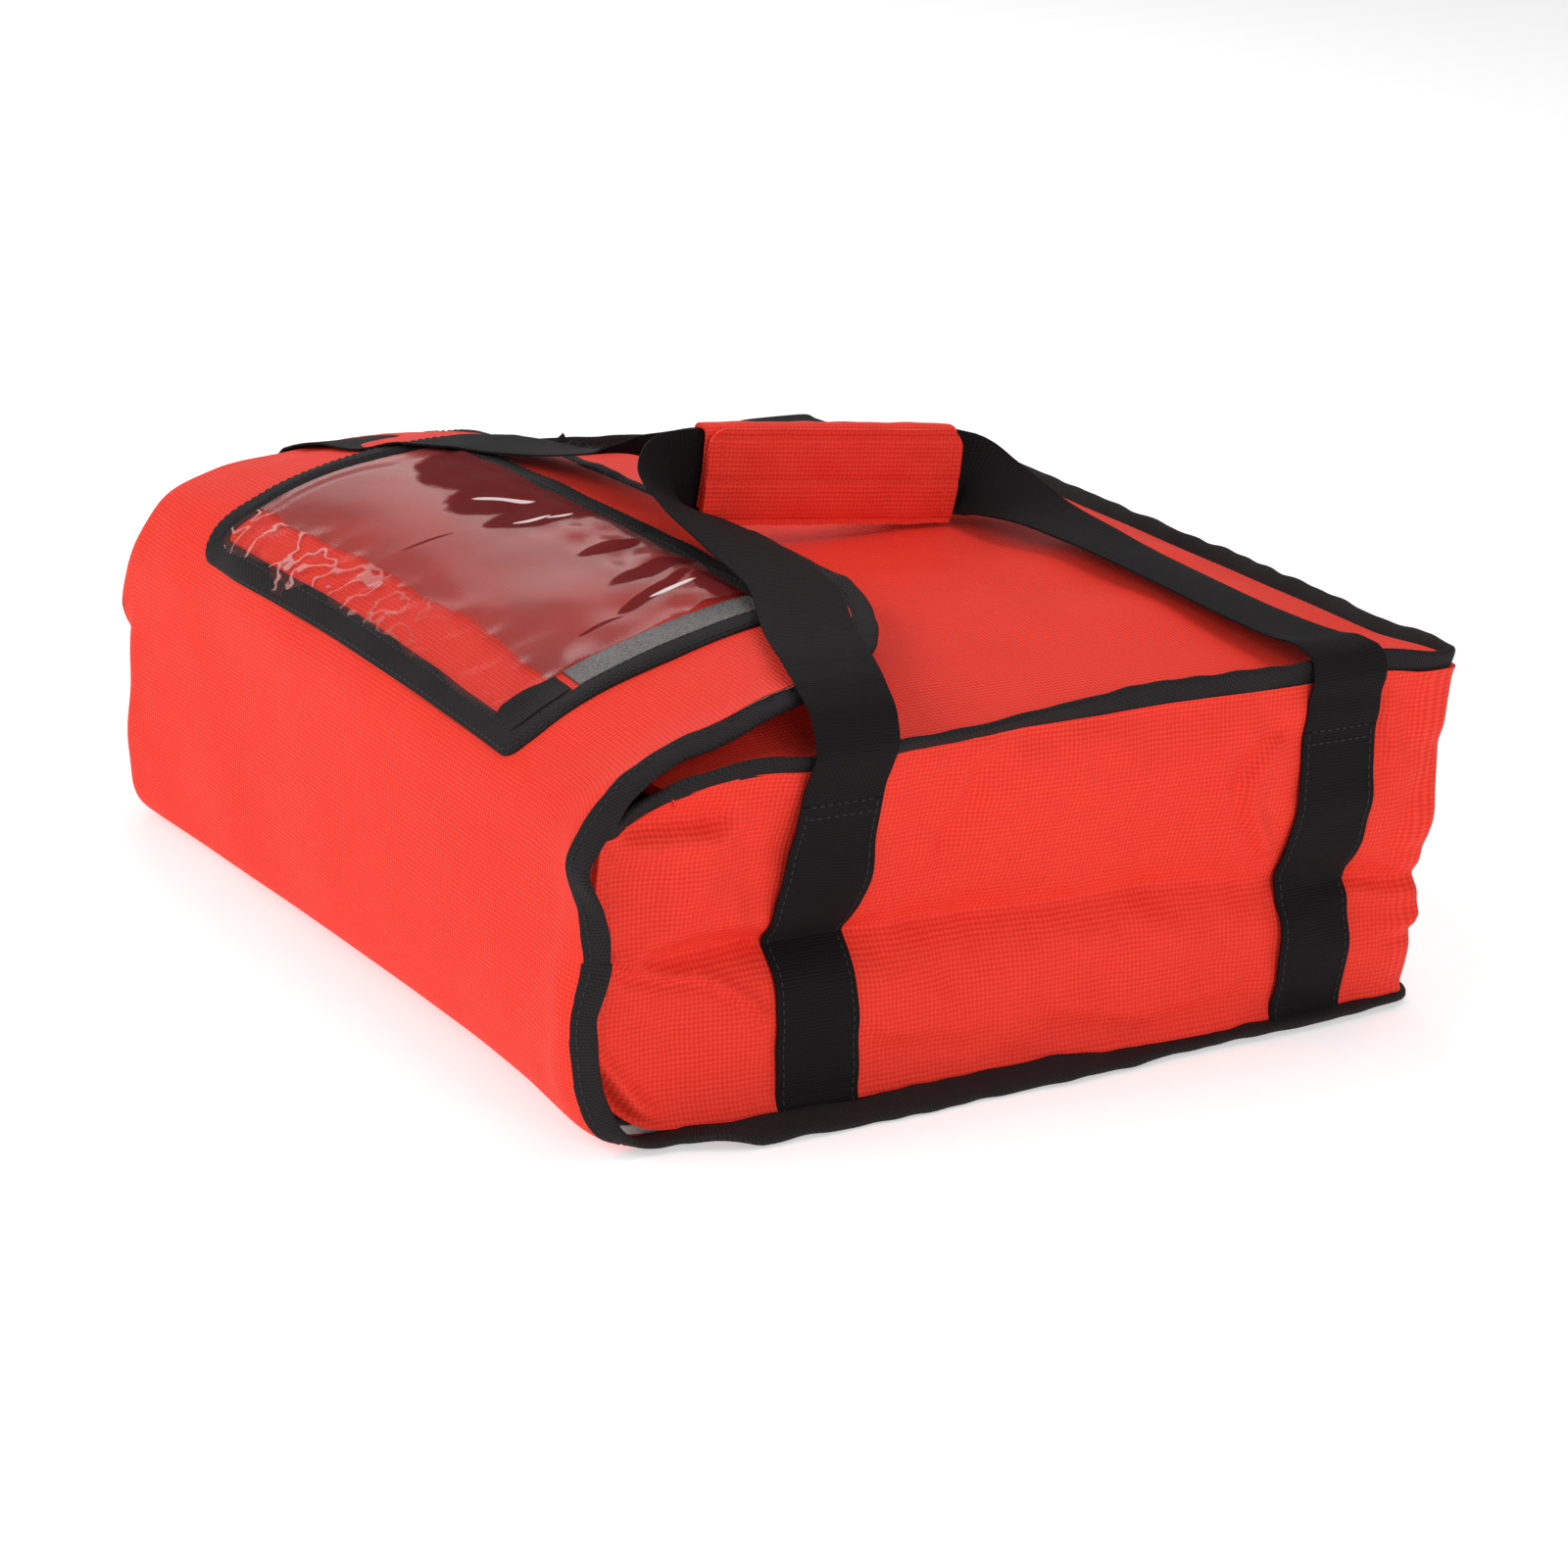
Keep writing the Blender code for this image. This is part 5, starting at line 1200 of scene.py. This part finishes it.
NEAR_ROUTE = ((.2525, -.105, .1580), (.2570, -.105, .1690), (.2515, -.104, .1810), (.2350, -.1005, .1895), (.2150, -.0945, .1935),
              (.180, -.0825, .1960), (.1307, -.0625, .2005), (.088, -.0595, .2050), (.050, -.0610, .2100), (.020, -.0600, .2140),
              (.0040, -.0490, .2165), (.00095, -.0345, .2163))
FAR_ROUTE = ((.2500, .153, .1580), (.2525, .153, .1690), (.2500, .1525, .1768), (.2400, .1505, .1808), (.2265, .1470, .1808), (.190, .1440, .1812),
             (.149, .1430, .1824), (.105, .1400, .1848), (.070, .1345, .1885), (.0360, .1255, .1935),
             (.0130, .1180, .1980), (.0030, .1115, .2015), (.00095, .1040, .2030))
LEFT_NEAR_ROUTE = ((.2480, -.105, .1560), (.2500, -.105, .1625), (.2490, -.1055, .1690), (.2430, -.1062, .1740), (.2290, -.1082, .1800),
                   (.2000, -.1072, .1885), (.1680, -.1028, .1935), (.1561, -.0940, .1975), (.1357, -.0785, .2010), (.1076, -.0619, .2030),
                   (.0779, -.0520, .2068), (.0470, -.0430, .2130), (.0200, -.0425, .2160), (.0050, -.0410, .2165), (.00095, -.0345, .2163))
LEFT_FAR_ROUTE = ((.2385, .153, .1540), (.2410, .153, .1600), (.2405, .153, .1645), (.2360, .1530, .1672), (.2250, .1520, .1682),
                  (.2050, .1500, .1702), (.1800, .1465, .1737), (.1400, .1400, .1780), (.0950, .1335, .1840), (.0500, .1260, .1900),
                  (.0200, .1190, .1955), (.0050, .1120, .2005), (.00095, .1040, .2030))
TWISTS = {(1, -1): (0, 0, 8, 30, 58, 90), (1, 1): (0, -8, -5, 10, 38, 90), (-1, -1): (0, 0, 2, 14, 45, 90), (-1, 1): (0, 0, 5, 24, 50, 90)}


def free_leg(side, place, y, end, start_x):
    ways = {(1, -1): NEAR_ROUTE, (1, 1): FAR_ROUTE, (-1, -1): LEFT_NEAR_ROUTE, (-1, 1): LEFT_FAR_ROUTE}
    route = np.array(((start_x, y, 0.1440), (start_x + 0.0012, y, 0.1490)) + ways[side, end]) * (side, 1, 1)
    chord = np.concatenate(((0,), np.cumsum(np.linalg.norm(np.diff(route, axis=0), axis=1))))
    at = np.linspace(0, chord[-1], 110)
    line = through(chord, route, at)
    share = at / chord[-1]
    turn = np.radians(through((0, 0.50, 0.70, 0.86, 0.94, 1), TWISTS[side, end], share))
    across = np.stack((0 * turn, np.cos(turn), end * np.sin(turn)), 1) * side
    name = ("right" if side > 0 else "left") + "_" + place
    curl = 0.0012 * np.sin(share * 7 + side) * ease(share / 0.2) * ease((1 - share) / 0.15)
    start = (side * 0.24, y, 0.175)
    finish = tuple(GRIP_CENTRE + GRIP_ALONG * end * (GRIP_HALF + 0.004))
    webbing(name + "_free_strap", line, across, ("body", "grip", start, finish), (name + "_leg",), curl, place == "near")


def handles():
    for side in (1, -1):
        for place, y, end in (("near", NEAR_Y, -1), ("far", FAR_Y, 1)):
            free_leg(side, place, y, end, sewn_length(side, place, y))
        t = np.linspace(-GRIP_HALF - 0.001, GRIP_HALF + 0.001, 40)
        line = GRIP_CENTRE + t[:, None] * GRIP_ALONG + (side * 0.00095, 0, 0)
        across = np.repeat(-GRIP_UP[None, :] * side, 40, 0)
        name = "right" if side > 0 else "left"
        webbing(name + "_held_strap", line, across, "grip", (name + "_handle_middle",))


handles()

# Grip: a red padded wrap closed round both handles. Its outer flap comes up over the front and is held
# by a hook-and-loop strip, whose box of stitches shows.


def in_grip(x, along, up):
    """A point given about the grip's centre, as (x, along the handle, up)."""
    x, along, up = np.broadcast_arrays(x, along, up)
    return GRIP_CENTRE + x[..., None] * np.array((1, 0, 0)) + along[..., None] * GRIP_ALONG + up[..., None] * GRIP_UP


def arc(cx, cz, radius, low, high, steps=8):
    turns = np.radians(np.linspace(low, high, steps))
    return np.stack((cx + radius * np.cos(turns), cz + radius * np.sin(turns)), 1)


BOX_HALF, BOX_LOW, BOX_HIGH = 0.0625, -0.0019, 0.0185


def cover_swell(along, up, high):
    """How far the grip's outer flap swells, less the dents of its two long stitch rows."""
    swell = 0.0012 * np.sin(np.clip((up + high) / (2 * high), 0, 1) * pi) ** 0.7 + 0.0004 * ripple(along, up, 0.025, 131)
    return swell - 0.0007 * np.exp(-((up - BOX_HIGH) / 0.0016) ** 2) - 0.0007 * np.exp(-((up - BOX_LOW) / 0.0016) ** 2)


def grip():
    high, wide, radius = 0.0225, 0.0062, 0.0044
    outline = np.concatenate((((0.0095, -high), (0.004, -high)), arc(radius - wide, radius - high, radius, 270, 180), ((-wide, 0),),
                              arc(radius - wide, high - radius, radius, 180, 90), arc(wide - radius, high - radius, radius, 90, 0),
                              ((wide, 0.008), (wide, -0.004), (wide, -0.0155))))
    outline = even(np.concatenate((outline, 0 * outline[:, :1]), 1), 0.0022)[:, :2]
    run = np.gradient(outline, axis=0)
    side = np.stack((run[:, 1], -run[:, 0]), 1)
    side /= np.linalg.norm(side, axis=1, keepdims=True)
    outward = side * -1 if (side[len(side) // 2] * outline[len(side) // 2]).sum() < 0 else side
    inner = outline - outward * 0.0021
    ends = np.linspace(-1, 1, 60)
    half = GRIP_HALF - 0.0008 * (1 - np.abs(outline[:, 1]) / high)
    t = ends[:, None] * half[None, :]
    puff = 0.0007 * (1 - np.abs(ends) ** 6)[:, None] * (1 + 0.4 * ripple(ends[:, None] * 0.07, outline[None, :, 1], 0.02, 121))
    grow = outline[None] + outward[None] * puff[..., None]
    outer = in_grip(grow[..., 0], t, grow[..., 1])
    under = in_grip(inner[None, :, 0] + 0 * t, t, inner[None, :, 1] + 0 * t)
    length = np.concatenate(((0,), np.cumsum(np.linalg.norm(np.diff(outline, axis=0), axis=1))))
    cloth = np.stack(np.broadcast_arrays(t, length[None, :]), -1)
    wrap = piece("grip_padded_wrap", outer, under, cloth, RED, "grip", ("grip_wrap",), "coated_polyester")

    for name, low, top, made_of, body, node in (("grip_loop_strip", 0.0066, 0.0073, LOOP, "grip", "grip_loop"),
                                                ("grip_hook_strip", 0.0075, 0.0083, HOOK, "grip_cover", "grip_hook")):
        t = np.linspace(-0.0645, 0.0645, 40)[:, None]
        up = np.linspace(-0.0017, 0.0183, 7)[None, :]
        t, up = np.broadcast_arrays(t, up)
        piece(name, in_grip(top, t, up), in_grip(low, t, up), np.stack((t, up), -1), made_of, body, (node,), node.split("_")[1] + "_tape")

    up = np.concatenate((-high + 0.0012 + 0.010 * (1 - np.cos(np.linspace(0, pi / 2, 8)))[:-1], np.linspace(-high + 0.0112, high - 0.009, 18)[:-1],
                         high - 0.009 + 0.009 * np.sin(np.linspace(0, pi / 2, 14))))
    corner = np.clip((up - (high - 0.009)) / 0.009, 0, 1)
    half = GRIP_HALF + 0.0006 - 0.009 * (1 - np.sqrt(np.maximum(1 - corner**2, 0)))
    t = np.linspace(-1, 1, 90)[:, None] * half[None, :]
    rise = np.broadcast_to(up[None, :], t.shape)
    belly = cover_swell(t, rise, high)
    tuck = -0.003 * np.exp(-(rise + high) / 0.003)
    front = in_grip(0.0105 + belly + tuck, t, rise)
    rear = in_grip(0.0087 + tuck, t, rise)
    cover = piece("grip_cover_flap", front, rear, np.stack((t, rise), -1), RED, "grip_cover", ("grip_flap",), "coated_polyester")
    box = ((-BOX_HALF, BOX_HIGH), (BOX_HALF, BOX_HIGH), (BOX_HALF, BOX_LOW), (-BOX_HALF, BOX_LOW), (-BOX_HALF, BOX_HIGH))
    end = ((BOX_HALF, BOX_LOW), (BOX_HALF, -0.0195))
    for name, corners in (("grip_box_stitches", box), ("grip_end_stitches", end)):
        row = even([(a, b, 0.0) for a, b in corners], 0.0012)[:, :2]
        seam = in_grip(0.0105 + cover_swell(row[:, 0], row[:, 1], high), row[:, 0], row[:, 1])
        stitches(name, seam, np.repeat(((1.0, 0.0, 0.0),), len(row), 0), RED_THREAD, "grip_cover", thick=0.0007)


grip()
